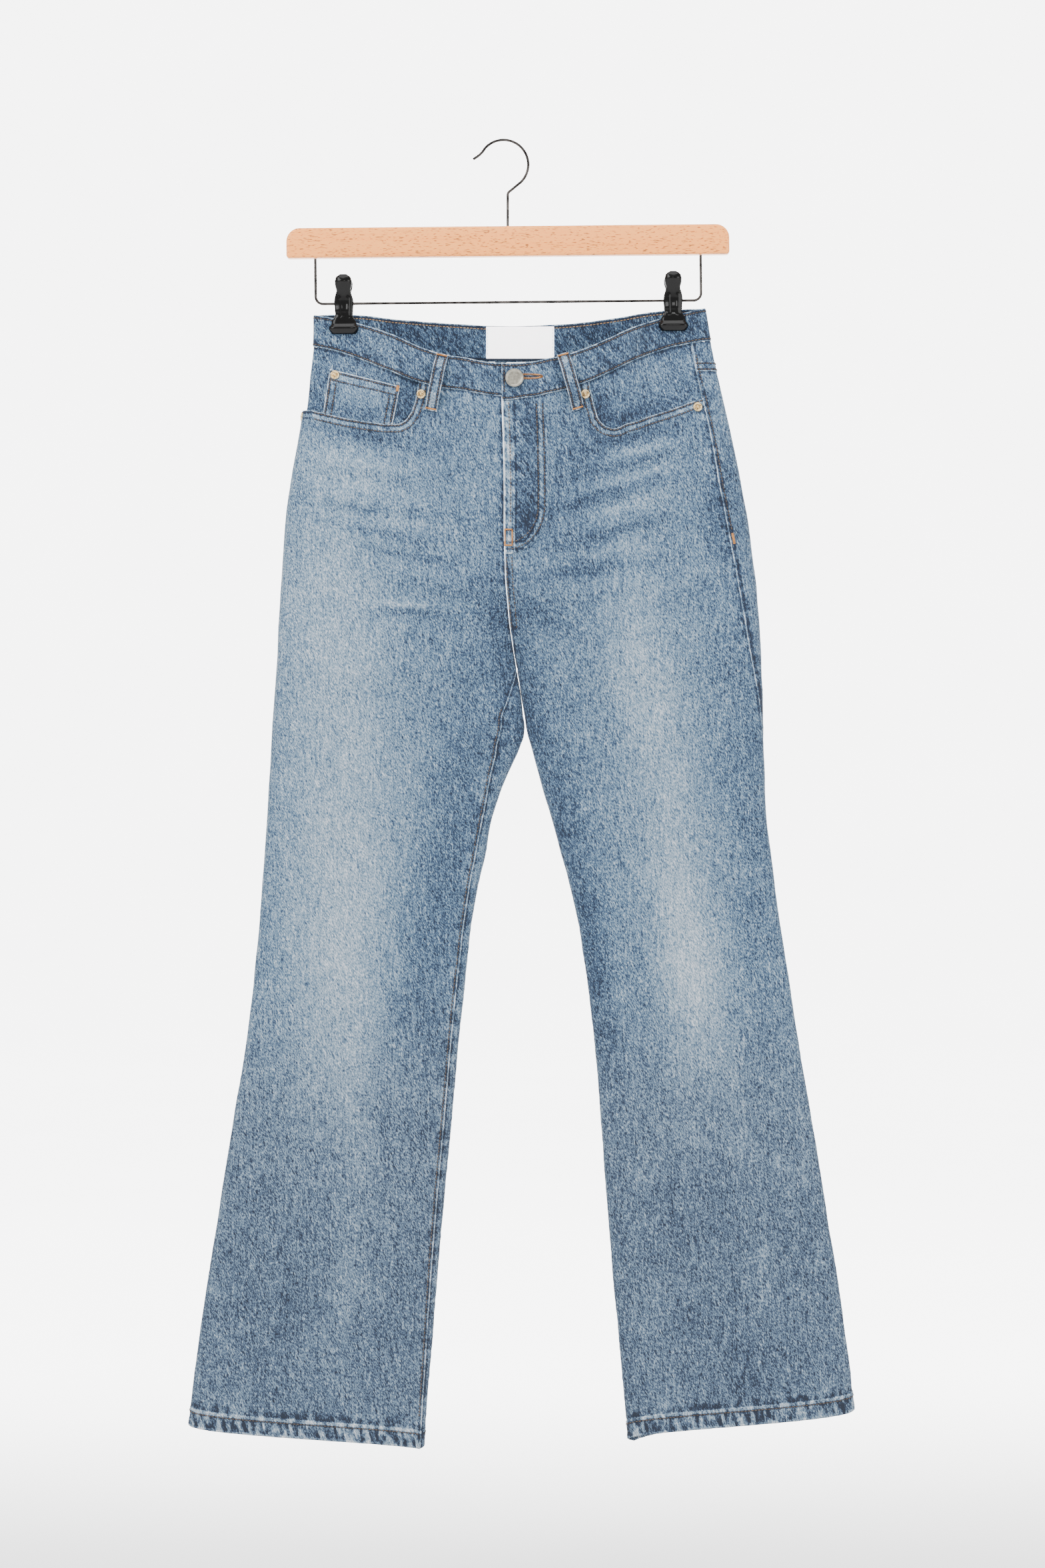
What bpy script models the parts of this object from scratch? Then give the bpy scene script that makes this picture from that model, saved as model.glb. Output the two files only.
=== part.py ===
"""Bootcut jeans hung flat from a wooden clip hanger.

The garment hangs from its waistband, front towards -Y, with the wearer's left side at +X.
Heights are given as drops: millimetres below the point where the hanger's hook is held,
which is the origin. Every cloth piece is a patch of one garment surface, which is worked
out from the sections below, with a wall of its own thickness.
"""

import math

import bmesh
import bpy
import numpy as np
from mathutils import Vector

MM = 0.001

# Cloth walls, in millimetres
CLOTH = 1.2
BAND_CLOTH = 2.2
HEM_CLOTH = 2.6
LOOP_CLOTH = 1.6
PATCH_CLOTH = 1.0
PLACKET_CLOTH = 0.7
LABEL_CLOTH = 0.6
GAP = 0.3
BAND_PROUD = 0.8
HEM_PROUD = 0.7
HEM_HEIGHT = 13
UNDERLAP = 24
# Drops at which the band, the waist, the tab and the yoke are first looked up
BAND_LEVEL = 205.0
WAIST_LEVEL = 200.0
TAB_LEVEL = 230.0
YOKE_LEVEL = 240.0
# Where the tab's foot dips, and where the right front sinks to pass under the left front
TAB_END_X = -5
TAB_DIP_WIDTH = 24
LAP_START_X = -42
LAP_SLOPE = 36
LAP_FOOT = 380
LAP_FADE = 25
# The facings' foot under the pocket openings, and the run over which columns even out
FACING_TUCK = 16
FACING_LEAST = 45
SHARE_FADE = 150
UNDERLAP_SINK = BAND_CLOTH + GAP
TAB_LIP = 1.5

# The garment's sections, one row for each drop. The sides are the outline seen from the
# front, centre is the line between the halves and then between the legs, apart is half
# the space between the legs, and front and back are how far the cloth bows out.
SECTION_COLUMNS = ("drop", "right_side", "left_side", "centre", "apart", "front", "back")
SECTIONS = (
    (160, -184, 191, -5.0, 0.2, 17, 15),
    (210, -186, 200, -4.5, 0.2, 20, 17),
    (250, -193, 209, -3.8, 0.2, 22, 20),
    (290, -200, 218, -2.5, 0.2, 23, 23),
    (330, -207, 226, -1.8, 0.2, 24, 26),
    (400, -214, 237, -1.0, 0.2, 25, 29),
    (445, -217, 242, 1.9, 0.2, 25, 30),
    (480, -219, 244.5, 6.0, 0.2, 24, 29),
    (507, -220.5, 245.5, 10.5, 0.2, 22, 27),
    (550, -223.5, 246.5, 17.0, 0.4, 19, 23),
    (566, -224.5, 247, 19.0, 0.8, 19, 22),
    (580, -225, 247.5, 19.0, 4.6, 18, 21),
    (595, -225.5, 248, 17.8, 9.9, 18, 20),
    (613, -227, 249, 16.2, 16.6, 17, 19),
    (632, -228, 249.5, 15.5, 23.0, 17, 19),
    (685, -232, 255, 16.6, 36.5, 15, 17),
    (735, -235.5, 261, 18.0, 48.0, 14, 16),
    (785, -240, 269, 19.2, 55.8, 13, 15),
    (840, -246, 277, 19.8, 62.3, 12.5, 14),
    (940, -262, 294, 19.6, 71.5, 12, 13),
    (1040, -277.5, 310, 18.6, 80.0, 12, 13),
    (1145, -294, 326, 19.0, 89.0, 12, 13),
    (1230, -304, 335.5, 19.4, 96.5, 13, 13),
    (1270, -308, 339, 19.6, 100.0, 13, 13),
)
FORK = 507
FRONT_RISE_CURVE = 85
BACK_RISE_CURVE = 105
BLUNTNESS = 0.6

# The waist's edges, from the right side to the left: the waistband's top and its lower
# seam on the front, and its top on the back, all as drops.
WAIST_COLUMNS = ("x", "front_top", "front_seam", "back_top", "back_seam")
WAIST = (
    (-186, 167.0, 197.0, 167.0, 197.0),
    (-155, 172.5, 204.5, 166.5, 198.5),
    (-112, 186.0, 222.0, 169.0, 202.0),
    (-72, 203.0, 236.5, 172.0, 206.0),
    (-40, 209.5, 241.7, 174.0, 208.5),
    (-5, 214.5, 247.0, 175.5, 210.0),
    (20, 214.2, 248.3, 175.4, 210.0),
    (40, 210.5, 244.5, 174.6, 209.0),
    (73, 201.8, 235.0, 172.6, 206.0),
    (99, 191.4, 224.0, 169.5, 202.0),
    (147, 172.2, 202.2, 163.6, 195.0),
    (171, 166.4, 195.8, 161.5, 192.6),
    (200, 160.5, 191.5, 160.5, 191.5),
)

# How far each seam lies in from the outline: front is positive, round the back negative.
SEAM_COLUMNS = ("drop", "right_outseam", "left_outseam", "right_inseam", "left_inseam")
SEAMS = (
    (160, -7, 18, 0, 0),
    (210, -7, 19, 0, 0),
    (290, -8, 20, 0, 0),
    (350, -8, 21, 0, 0),
    (400, -8, 18.5, 0, 0),
    (455, -8, 14.5, 0, 0),
    (507, -8, 8, 0, 0),
    (535, -8, 3.5, 12, -12),
    (566, -8, 0.5, 23, -20),
    (594, -8, -4, 19, -18),
    (632, -8, -7, 11, -14),
    (685, -8, -8, 9, -10),
    (840, -8, -8, 7.5, -8),
    (1040, -8, -8, 6.5, -8),
    (1195, -8, -8, 4.5, -6),
    (1270, -8, -8, 3, -5),
)
YOKE_AT_SIDE = 30
YOKE_AT_CENTRE = 58

# Each leg's hem edge: its drop at the outseam and at the inseam.
HEM_COLUMNS = ("side", "outer_drop", "inner_drop")
HEMS = (
    (-1, 1228.5, 1254.5),
    (1, 1213.5, 1248.5),
)

# The front pocket openings, from the side seam to the waistband seam.
RIGHT_POCKET_EDGE = ((-186.5, 259), (-169, 263.5), (-141, 269.5), (-126, 271.7), (-109, 273),
                     (-99, 271.7), (-93, 266), (-88, 256), (-85.5, 246), (-83.5, 235))
LEFT_POCKET_EDGE = ((190.5, 247.5), (179, 251), (163, 257), (139, 265), (115, 273),
                    (99, 276.5), (91.5, 272), (86, 260), (82.5, 247.5), (79.5, 232))

# The largest soft folds. Slope is degrees, rising to the right, and height is out of the
# cloth, or into it where it is negative.
FOLD_COLUMNS = ("x", "drop", "half_length", "half_width", "slope", "height")
FRONT_FOLDS = (
    (-150, 312, 60, 9, -6, 1.4),
    (-140, 346, 62, 9, -12, 1.5),
    (-125, 380, 70, 10, -12, 1.2),
    (-60, 425, 45, 10, -20, 1.2),
    (135, 302, 65, 9, 12, 1.4),
    (125, 334, 70, 9, 14, 1.5),
    (110, 366, 70, 10, 14, 1.2),
    (55, 398, 42, 9, 22, 1.4),
    (-40, 540, 60, 14, 62, -1.6),
    (95, 560, 70, 14, -66, -1.6),
    (137, 838, 48, 15, -62, -2.2),
    (-150, 850, 60, 18, 72, -1.8),
    (-170, 1040, 150, 24, 84, 2.0),
    (205, 1060, 150, 24, -82, 2.0),
)
BACK_FOLDS = (
    (-120, 455, 60, 10, 14, 1.6),
    (130, 450, 62, 10, -16, 1.6),
    (-100, 492, 66, 11, 18, 1.8),
    (115, 488, 66, 11, -18, 1.8),
    (-120, 790, 50, 12, 8, 1.8),
    (160, 800, 52, 12, -9, 1.8),
    (-185, 1050, 150, 24, 84, 2.0),
    (215, 1040, 150, 24, -82, 2.0),
)

# Belt loops: the middle of each end, and whether it is on the back.
LOOP_COLUMNS = ("name", "top_x", "top_drop", "foot_x", "foot_drop", "on_back")
BELT_LOOPS = (
    ("belt_loop_front_right", -60.5, 206.5, -71.5, 261, False),
    ("belt_loop_front_left", 54.5, 206.0, 69.5, 260, False),
    ("belt_loop_back_right", -92, 171.5, -95, 223.5, True),
    ("belt_loop_back_left", 84, 172, 87, 224.5, True),
    ("belt_loop_back_centre", -5, 177, -5, 231, True),
)
LOOP_WIDTH = 11.5
LOOP_ROOM = 6.6

# Buttons and rivets
BUTTON_PLACE = (8.3, 230)
BUTTON_RADIUS = 8.9
BUTTON_THICK = 2.6
SHANK_RADIUS = 3.6
SHANK_LENGTH = 1.8
RIVET_RADIUS = 4.6
RIVET_COLUMNS = ("name", "x", "drop", "on_pocket")
RIVETS = (
    ("rivet_front_right_inner", -80.8, 244.8, False),
    ("rivet_front_left_inner", 75.8, 244.8, False),
    ("rivet_front_left_outer", 183.6, 256.4, False),
    ("rivet_coin_pocket", -163.6, 225.6, True),
)

EDGE_RIVET_TURN = 0.012
EDGE_RIVET_DROP = 264.3
EDGE_RIVET_SINK = 0.3

# The hanger, in millimetres from the middle of the bar's top edge
BAR_WIDTH = 425
BAR_HEIGHT = 28.8
BAR_THICK = 13
BAR_TOP_CORNER = 13
BAR_FOOT_CORNER = 3
BAR_EDGE = 1.6
BAR_DROP = 82
BAR_X = 1.8
BAR_TILT = math.radians(0.55)
WIRE_RADIUS = 1.2
RAIL_HALF_WIDTH = 185
RAIL_DEPTH = 72.5
RAIL_BEND = 7
HOOK_RADIUS = 23.7
HOOK_CENTRE_X = -2.2
HOOK_TIP = (-31.4, 17.2)
HOOK_KNEE_DROP = 50.5
CLIP_SPACING = 158
CLIP_TOP = 45.5
SPRING_RADIUS = 4.6
SPRING_LENGTH = 9

# One lever of a clip: height below its top, width, inner face out from the middle
# plane, and thickness.
LEVER_COLUMNS = ("height", "width", "inner", "thick")
LEVER = (
    (0.0, 6.0, 9.6, 1.6),
    (1.6, 11.2, 9.2, 2.4),
    (4.6, 15.0, 8.6, 3.2),
    (8.4, 16.0, 8.0, 3.4),
    (12.2, 15.0, 7.3, 3.2),
    (15.6, 13.4, 6.7, 2.8),
    (18.6, 15.2, 6.0, 2.6),
    (22.0, 17.0, 5.2, 2.6),
    (34.0, 17.0, 4.6, 2.6),
    (41.0, 18.6, 4.3, 2.6),
    (44.0, 22.6, 4.1, 3.4),
    (46.6, 23.8, 3.85, 4.2),
    (55.4, 24.6, 3.85, 4.2),
    (56.6, 22.6, 3.85, 3.0),
)
CLIP_PINCH = 2.6
PINCH_FLAT = 14
PINCH_REACH = 52
PINCH_FOOT = 186
PINCH_FADE = 90

# Colours, as linear red, green and blue
DENIM = (0.20, 0.29, 0.40)
DENIM_DARK = (0.10, 0.17, 0.27)
WHITE = (0.9, 0.88, 0.88)
NICKEL = (0.34, 0.34, 0.30)
BRASS = (0.72, 0.52, 0.26)
BEECH = (0.93, 0.62, 0.39)
STEEL = (0.55, 0.54, 0.53)
BLACK = (0.02, 0.02, 0.02)


# Curves through the tables

def smooth_curve(places, values):
    """A smooth function through a table's rows, level beyond its ends."""
    places = np.array(places, float)
    values = np.array(values, float)
    slopes = np.gradient(values, places)

    def at(place):
        place = np.clip(place, places[0], places[-1])
        row = np.searchsorted(places, place, side="right") - 1
        row = np.clip(row, 0, len(places) - 2)
        span = places[row + 1] - places[row]
        t = (place - places[row]) / span
        start = values[row] + (slopes[row] * span) * t
        end = values[row + 1] - (slopes[row + 1] * span) * (1 - t)
        ease = t * t * (3 - 2 * t)
        return start + (end - start) * ease

    return at


def curves(columns, rows):
    """A smooth curve for each named column against the first one."""
    table = np.array(rows, float).T
    return {name: smooth_curve(table[0], column) for name, column in zip(columns[1:], table[1:])}


SECTION = curves(SECTION_COLUMNS, SECTIONS)
WAIST_EDGE = curves(WAIST_COLUMNS, WAIST)
SEAM = curves(SEAM_COLUMNS, SEAMS)


def ease(t):
    """0 to 1, with no corner at either end."""
    t = np.clip(t, 0, 1)
    return t * t * (3 - 2 * t)


# The garment's surface. A place on it is a side (-1 the wearer's right, 1 the left), a
# turn and a drop. The turn is 1 at the front's inner edge, 0 at the outline's side and
# -1 at the back's inner edge, and past 1 or -1 it goes on round the inside of the leg.

def inner_edge(side, drop):
    apart = np.maximum(SECTION["apart"](drop), GAP / 2)
    return SECTION["centre"](drop) + side * apart


def outer_edge(side, drop):
    return np.where(side > 0, SECTION["left_side"](drop), SECTION["right_side"](drop))


def closing(drop, rise_curve):
    """0 where the halves are open to each other, 1 where each is a closed leg."""
    return (1 - np.clip((FORK - drop) / rise_curve, 0, 1)) ** 1.5


def profile(turn, drop):
    """How far out a place is from the inner edge (0 to 1), and how deep it bows (0 to 1)."""
    away = 1 - np.abs(turn)
    closed = np.where(turn >= 0, closing(drop, FRONT_RISE_CURVE), closing(drop, BACK_RISE_CURVE))
    quarter = away * math.pi / 2
    open_run = np.sin(quarter)
    open_bow = np.clip(np.cos(quarter), 0, 1) ** BLUNTNESS
    leg_run = (1 - np.cos(away * math.pi)) / 2
    leg_bow = np.clip(np.sin(away * math.pi), 0, 1) ** BLUNTNESS
    run = open_run + (leg_run - open_run) * closed
    bow = open_bow + (leg_bow - open_bow) * closed
    return run, bow


def fold_height(x, drop, folds):
    """How far the folds push the cloth out."""
    total = np.zeros(np.broadcast(x, drop).shape)
    for fold_x, fold_drop, half_length, half_width, slope, height in folds:
        angle = math.radians(slope)
        along = (x - fold_x) * math.cos(angle) - (drop - fold_drop) * math.sin(angle)
        across = (x - fold_x) * math.sin(angle) + (drop - fold_drop) * math.cos(angle)
        total += height * np.exp(-(along / half_length) ** 2 * 2 - (across / half_width) ** 2)
    return total


def surface(side, turn, drop):
    """Points of the garment's outer surface, in millimetres."""
    turn = np.where(turn > 1, turn - 2, np.where(turn < -1, turn + 2, turn))
    run, bow = profile(turn, drop)
    inner = inner_edge(side, drop)
    x = inner + (outer_edge(side, drop) - inner) * run
    front = turn >= 0
    depth = np.where(front, SECTION["front"](drop), SECTION["back"](drop)) * bow
    folds = np.where(front, fold_height(x, drop, FRONT_FOLDS), fold_height(x, drop, BACK_FOLDS))
    depth = depth + folds * ease(bow * 1.4)
    for clip_x in (BAR_X - CLIP_SPACING, BAR_X + CLIP_SPACING):
        near = ease((PINCH_REACH - np.abs(x - clip_x)) / (PINCH_REACH - PINCH_FLAT))
        near = near * (1 - ease((drop - PINCH_FOOT) / PINCH_FADE))
        flat = CLIP_PINCH * ease(bow * 3)
        depth = depth + (flat - depth) * near
    y = np.where(front, -depth, depth)
    return np.stack(np.broadcast_arrays(x, y, -drop), axis=-1)


def outward(side, turn, drop):
    """The surface's outward direction."""
    side, turn, drop = np.broadcast_arrays(
        np.asarray(side, float), np.asarray(turn, float), np.asarray(drop, float))
    step = 0.004
    torso = drop < FORK
    whole = np.where(torso, 1.0, 2.0)
    ahead = surface(side, np.minimum(turn + step, whole), drop)
    behind = surface(side, np.maximum(turn - step, -whole), drop)
    below = surface(side, turn, drop + 1)
    above = surface(side, turn, drop - 1)
    normal = np.cross(ahead - behind, below - above) * side[..., None]
    from_centre = (1 - np.abs(turn)) / 0.08
    normal[..., 0] *= np.where(torso, ease(from_centre), 1.0)
    return normal / np.linalg.norm(normal, axis=-1, keepdims=True)


def lifted(side, turn, drop, lift):
    """Points moved out from the surface by lift."""
    side, turn, drop, lift = np.broadcast_arrays(
        np.asarray(side, float), np.asarray(turn, float), np.asarray(drop, float), np.asarray(lift, float))
    return surface(side, turn, drop) + outward(side, turn, drop) * lift[..., None]


def turn_at(side, x, drop, back=False):
    """The turn of the place at x, on the front or the back."""
    side, x, drop = np.broadcast_arrays(np.asarray(side, float), np.asarray(x, float), np.asarray(drop, float))
    sign = -1.0 if back else 1.0
    inner = inner_edge(side, drop)
    wanted = np.clip((x - inner) / (outer_edge(side, drop) - inner), 0, 1)
    low, high = np.zeros(x.shape), np.ones(x.shape)
    for _ in range(36):
        middle = (low + high) / 2
        run = profile(sign * middle, drop)[0]
        low = np.where(run > wanted, middle, low)
        high = np.where(run > wanted, high, middle)
    return sign * (low + high) / 2


def place(x, drop, back=False):
    """The side and the turn of the place at x on the front or the back."""
    side = np.where(np.asarray(x) < SECTION["centre"](drop), -1.0, 1.0)
    return side, turn_at(side, x, drop, back)


def seam_turn(side, drop, seam):
    """The turn of the outseam or the inseam, which may lie on the front or round the back."""
    inset = SEAM[("left_" if side > 0 else "right_") + seam](drop)
    outer, inner = outer_edge(side, drop), inner_edge(side, drop)
    if seam == "outseam":
        x = outer - side * np.abs(inset)
        return np.where(inset >= 0, turn_at(side, x, drop), turn_at(side, x, drop, back=True))
    x = inner + side * np.abs(inset)
    on_front = turn_at(side, x, drop)
    on_back = turn_at(side, x, drop, back=True) + 2
    return np.where(drop <= FORK, 1.0, np.where(inset >= 0, on_front, on_back))


def beside(side, turn, drop, gap):
    """The turn that lies this gap along the cloth from the given one, towards a greater turn."""
    step = 0.002
    length = np.linalg.norm(surface(side, turn + step, drop) - surface(side, turn - step, drop), axis=-1)
    return turn + gap * 2 * step / length


# Meshes

def principled(name, colour, roughness, metallic=0.0):
    material = bpy.data.materials.get(name) or bpy.data.materials.new(name)
    material.use_nodes = True
    shader = material.node_tree.nodes["Principled BSDF"]
    shader.inputs["Base Color"].default_value = (*colour, 1)
    shader.inputs["Roughness"].default_value = roughness
    shader.inputs["Metallic"].default_value = metallic
    return material


def add_object(name, data, material, parent=None):
    data.materials.append(material)
    made = bpy.data.objects.new(name, data)
    garment.objects.link(made)
    made.parent = parent
    return made


def wall(name, outer, inner, material):
    """A closed cloth wall between two grids of points, in millimetres."""
    rows, columns = outer.shape[:2]
    index = np.arange(rows * columns).reshape(rows, columns)
    upper = np.stack([index[:-1, :-1], index[1:, :-1], index[1:, 1:]], axis=-1)
    lower = np.stack([index[:-1, :-1], index[1:, 1:], index[:-1, 1:]], axis=-1)
    faces = np.concatenate([upper.reshape(-1, 3), lower.reshape(-1, 3)])
    rim = np.concatenate([index[0, :-1], index[:-1, -1], index[-1, :0:-1], index[:0:-1, 0]])
    after = np.roll(rim, -1)
    count = rows * columns
    sides = np.concatenate([np.stack([rim, after, after + count], axis=-1),
                            np.stack([rim, after + count, rim + count], axis=-1)])
    faces = np.concatenate([faces, faces[:, ::-1] + count, sides])
    points = np.concatenate([outer.reshape(-1, 3), inner.reshape(-1, 3)]) * MM
    mesh = bpy.data.meshes.new(name)
    mesh.from_pydata(points.tolist(), [], faces.tolist())
    shell = bmesh.new()
    shell.from_mesh(mesh)
    bmesh.ops.recalc_face_normals(shell, faces=shell.faces)
    shell.to_mesh(mesh)
    shell.free()
    return add_object(name, mesh, material)


def patch(name, side, turn, drop, lift, thick, material):
    """A cloth wall over a grid of places on the garment, its outer face raised by lift."""
    side, turn, drop, lift, thick = np.broadcast_arrays(
        *(np.asarray(value, float) for value in (side, turn, drop, lift, thick)))
    return wall(name, lifted(side, turn, drop, lift), lifted(side, turn, drop, lift - thick), material)


# Front and back panels

PANEL_COLUMNS = 16
POCKET_COLUMNS = 11
CENTRE_COLUMNS = PANEL_COLUMNS - POCKET_COLUMNS
PINCH_COLUMNS = 8
SIDE_COLUMNS = {-1: 4, 1: 1}
TURN_WEIGHT = 150
TAB_DIP = 3.5
UPPER_ROWS = 5
LEVEL_DROP = 335
LEG_DROPS = (368, 400, 428, 452, 472, 488, 499, 507, 516, 532, 550, 566, 582, 602, 632,
             685, 750, 830, 920, 1010, 1100, 1165)
HEM_STEP = 0.6


def hem_drops(side):
    return next(row[1:] for row in HEMS if row[0] == side)


def row_drops(side, level, share):
    """A row across a leg: level above the fork, and more and more aslant down to the hem."""
    outer, inner = hem_drops(side)
    middle = (outer + inner) / 2
    aslant = ease((level - FORK) / (middle - FORK))
    return level + (inner - outer) * aslant * (share - 0.5)


def leg_rows(side, top_share, front):
    """Turns and drops of the rows below LEVEL_DROP, hem last. Share is 0 at the outseam."""
    outer, inner = hem_drops(side)
    middle = (outer + inner) / 2
    even = np.linspace(0, 1, PANEL_COLUMNS + 1)
    levels = list(LEG_DROPS) + [middle - HEM_HEIGHT, middle - HEM_HEIGHT + HEM_STEP, middle]
    turns, drops = [], []
    for level in levels:
        share = top_share + (even - top_share) * ease((level - LEVEL_DROP) / SHARE_FADE)
        drop = row_drops(side, level, share)
        turns.append(panel_turns(side, drop, share, front))
        drops.append(drop)
    return np.array(turns), np.array(drops)


def panel_turns(side, drop, share, front):
    """Turns from the outseam (share 0) to the centre seam or inseam (share 1)."""
    outseam = seam_turn(side, drop, "outseam")
    inseam = seam_turn(side, drop, "inseam")
    if front:
        start = beside(side, outseam, drop, GAP / 2)
        end = np.where(drop < FORK, 1.0, beside(side, inseam, drop, -GAP / 2))
        return start + (end - start) * share
    start = beside(side, outseam, drop, -GAP / 2)
    end = np.where(drop < FORK, -1.0, beside(side, inseam, drop, GAP / 2) - 2)
    return start + (end - start) * share


def resampled(points, count):
    """Points evenly spaced along a smooth line through the given ones."""
    points = np.array(points, float)
    length = np.concatenate([[0], np.cumsum(np.linalg.norm(np.diff(points, axis=0), axis=1))])
    along = np.linspace(0, length[-1], count)
    return np.stack([smooth_curve(length, points[:, 0])(along), smooth_curve(length, points[:, 1])(along)], axis=1)


def pocket_edge(side):
    return RIGHT_POCKET_EDGE if side < 0 else LEFT_POCKET_EDGE


def pocket_line(side, count):
    """Turns and drops along a pocket opening's edge, closer together where the cloth turns back."""
    x, drop = resampled(pocket_edge(side), 200).T
    seam = float(seam_turn(side, float(drop[0]), "outseam"))
    round_turn = np.linspace(seam, 0, 60)[:-1] if seam < 0 else np.zeros(0)
    turn = np.concatenate([round_turn, np.maximum(turn_at(side, x, drop), max(seam, 0))])
    drop = np.concatenate([np.full(len(round_turn), drop[0]), drop])
    points = surface(side, turn, drop)
    steps = np.linalg.norm(np.diff(points, axis=0), axis=1) + TURN_WEIGHT * np.abs(np.diff(turn))
    length = np.concatenate([[0], np.cumsum(steps)])
    along = np.linspace(0, length[-1], count)
    return np.interp(along, length, turn), np.interp(along, length, drop)


def waist_seam(side, turn):
    """The drop of the waistband's lower seam at a turn."""
    front = np.asarray(turn) >= 0
    drop = np.full(np.shape(turn), BAND_LEVEL)
    for _ in range(8):
        x = surface(side, turn, drop)[..., 0]
        tab = TAB_DIP * ease(1 - (x - TAB_END_X) / TAB_DIP_WIDTH) if side > 0 else 0
        drop = np.where(front, WAIST_EDGE["front_seam"](x) + tab, WAIST_EDGE["back_seam"](x))
    return drop


def front_waist_turns(side):
    """The turns that the pieces along the front of the waist share: centre to pocket, pocket to side."""
    pocket = float(pocket_line(side, 2)[0][-1])
    outseam = float(seam_turn(side, WAIST_LEVEL, "outseam"))
    centre_part = np.linspace(1, pocket, CENTRE_COLUMNS + 1)
    clip_x = np.array([BAR_X + side * (CLIP_SPACING - PINCH_FLAT), BAR_X + side * (CLIP_SPACING + PINCH_FLAT)])
    clip_turn = turn_at(side, clip_x, 185.0)
    side_part = np.concatenate([np.linspace(pocket, clip_turn[0], PINCH_COLUMNS + 1), [np.mean(clip_turn)],
                                np.linspace(clip_turn[1], outseam, SIDE_COLUMNS[side] + 1)])
    return centre_part, side_part


def underlap_lift(side, x, drop):
    """The right front sinks beside the fly, so that the left front's edge lies over it."""
    near = ease((x - LAP_START_X) / LAP_SLOPE) * (1 - ease((drop - LAP_FOOT) / LAP_FADE))
    return np.where(side < 0, -TAB_LIP * near, 0.0)


def hem_layers(rows, columns):
    """Lift and thickness at each grid point: the last two rows are the turned-up hem."""
    lift = np.zeros((rows, columns))
    thick = np.full((rows, columns), CLOTH)
    lift[-2:] = HEM_PROUD
    thick[-2:] = HEM_CLOTH
    return lift, thick


def front_panel(side, name):
    """A front leg panel, cut out at its pocket opening."""
    pocket_turn, pocket_drop = pocket_line(side, POCKET_COLUMNS + 1)
    seam_turns = front_waist_turns(side)[0][::-1]
    top_turn = np.concatenate([pocket_turn[:-1], seam_turns])
    top_drop = np.concatenate([pocket_drop[:-1], waist_seam(side, seam_turns)]) + GAP
    top_share = (top_turn - top_turn[0]) / (1 - top_turn[0])
    step = np.linspace(0, 1, UPPER_ROWS + 1)[:, None]
    upper_drop = top_drop + (LEVEL_DROP - top_drop) * step
    upper_turn = np.array([panel_turns(side, row, top_share, True) for row in upper_drop])
    leg_turn, leg_drop = leg_rows(side, top_share, True)
    turn, drop = np.vstack([upper_turn, leg_turn]), np.vstack([upper_drop, leg_drop])
    turn[0, POCKET_COLUMNS:] = seam_turns
    lift, thick = hem_layers(*turn.shape)
    x = surface(side, turn, drop)[..., 0]
    lift = lift + underlap_lift(side, x, drop)
    return patch(name, side, turn, drop, lift, thick, denim)


def yoke_drop(side, turn):
    """The yoke seam: shallow at the side and deep at the centre back, in a wide V."""
    x_like = 1 - np.cos(np.clip(-turn, 0, 1) * math.pi / 2)
    side_x = WAIST[0][0] if side < 0 else WAIST[-1][0]
    at_side = WAIST_EDGE["back_seam"](side_x) + YOKE_AT_SIDE
    at_centre = WAIST_EDGE["back_seam"](-5) + YOKE_AT_CENTRE
    return at_side + (at_centre - at_side) * (0.35 * x_like + 0.65 * np.clip(-turn, 0, 1))


def yoke_seam(side, share):
    """Turns and drops along the seam between a yoke and its back panel."""
    drop = np.full(len(share), YOKE_LEVEL)
    for _ in range(8):
        turn = panel_turns(side, drop, share, False)
        drop = yoke_drop(side, turn)
    return turn, drop


def back_panel(side, name):
    """A back leg panel, from the yoke seam to the hem."""
    share = np.linspace(0, 1, PANEL_COLUMNS + 1)
    top_turn, top_drop = yoke_seam(side, share)
    step = np.linspace(0, 1, UPPER_ROWS + 1)[:, None]
    upper_drop = top_drop + GAP + (LEVEL_DROP - top_drop - GAP) * step
    upper_turn = np.array([panel_turns(side, row, share, False) for row in upper_drop])
    upper_turn[0] = top_turn
    leg_turn, leg_drop = leg_rows(side, share, False)
    turn, drop = np.vstack([upper_turn, leg_turn]), np.vstack([upper_drop, leg_drop])
    lift, thick = hem_layers(*turn.shape)
    return patch(name, side, turn, drop, lift, thick, denim)


def back_waist_turns(side):
    """The turns that the pieces along the back of the waist share, from the side to the centre."""
    return panel_turns(side, WAIST_LEVEL, np.linspace(0, 1, PANEL_COLUMNS + 1), False)


def yoke(side, name):
    """The shaped strip between the waistband and a back panel."""
    share = np.linspace(0, 1, PANEL_COLUMNS + 1)
    top_turn = back_waist_turns(side)
    top_drop = waist_seam(side, top_turn) + GAP
    foot_turn, foot_drop = yoke_seam(side, share)
    step = np.linspace(0, 1, 3)[:, None]
    turn = top_turn + (foot_turn - top_turn) * step
    drop = top_drop + (foot_drop - top_drop) * step
    return patch(name, side, turn, drop, 0, CLOTH, denim)


# Waistband, label and fly

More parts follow.
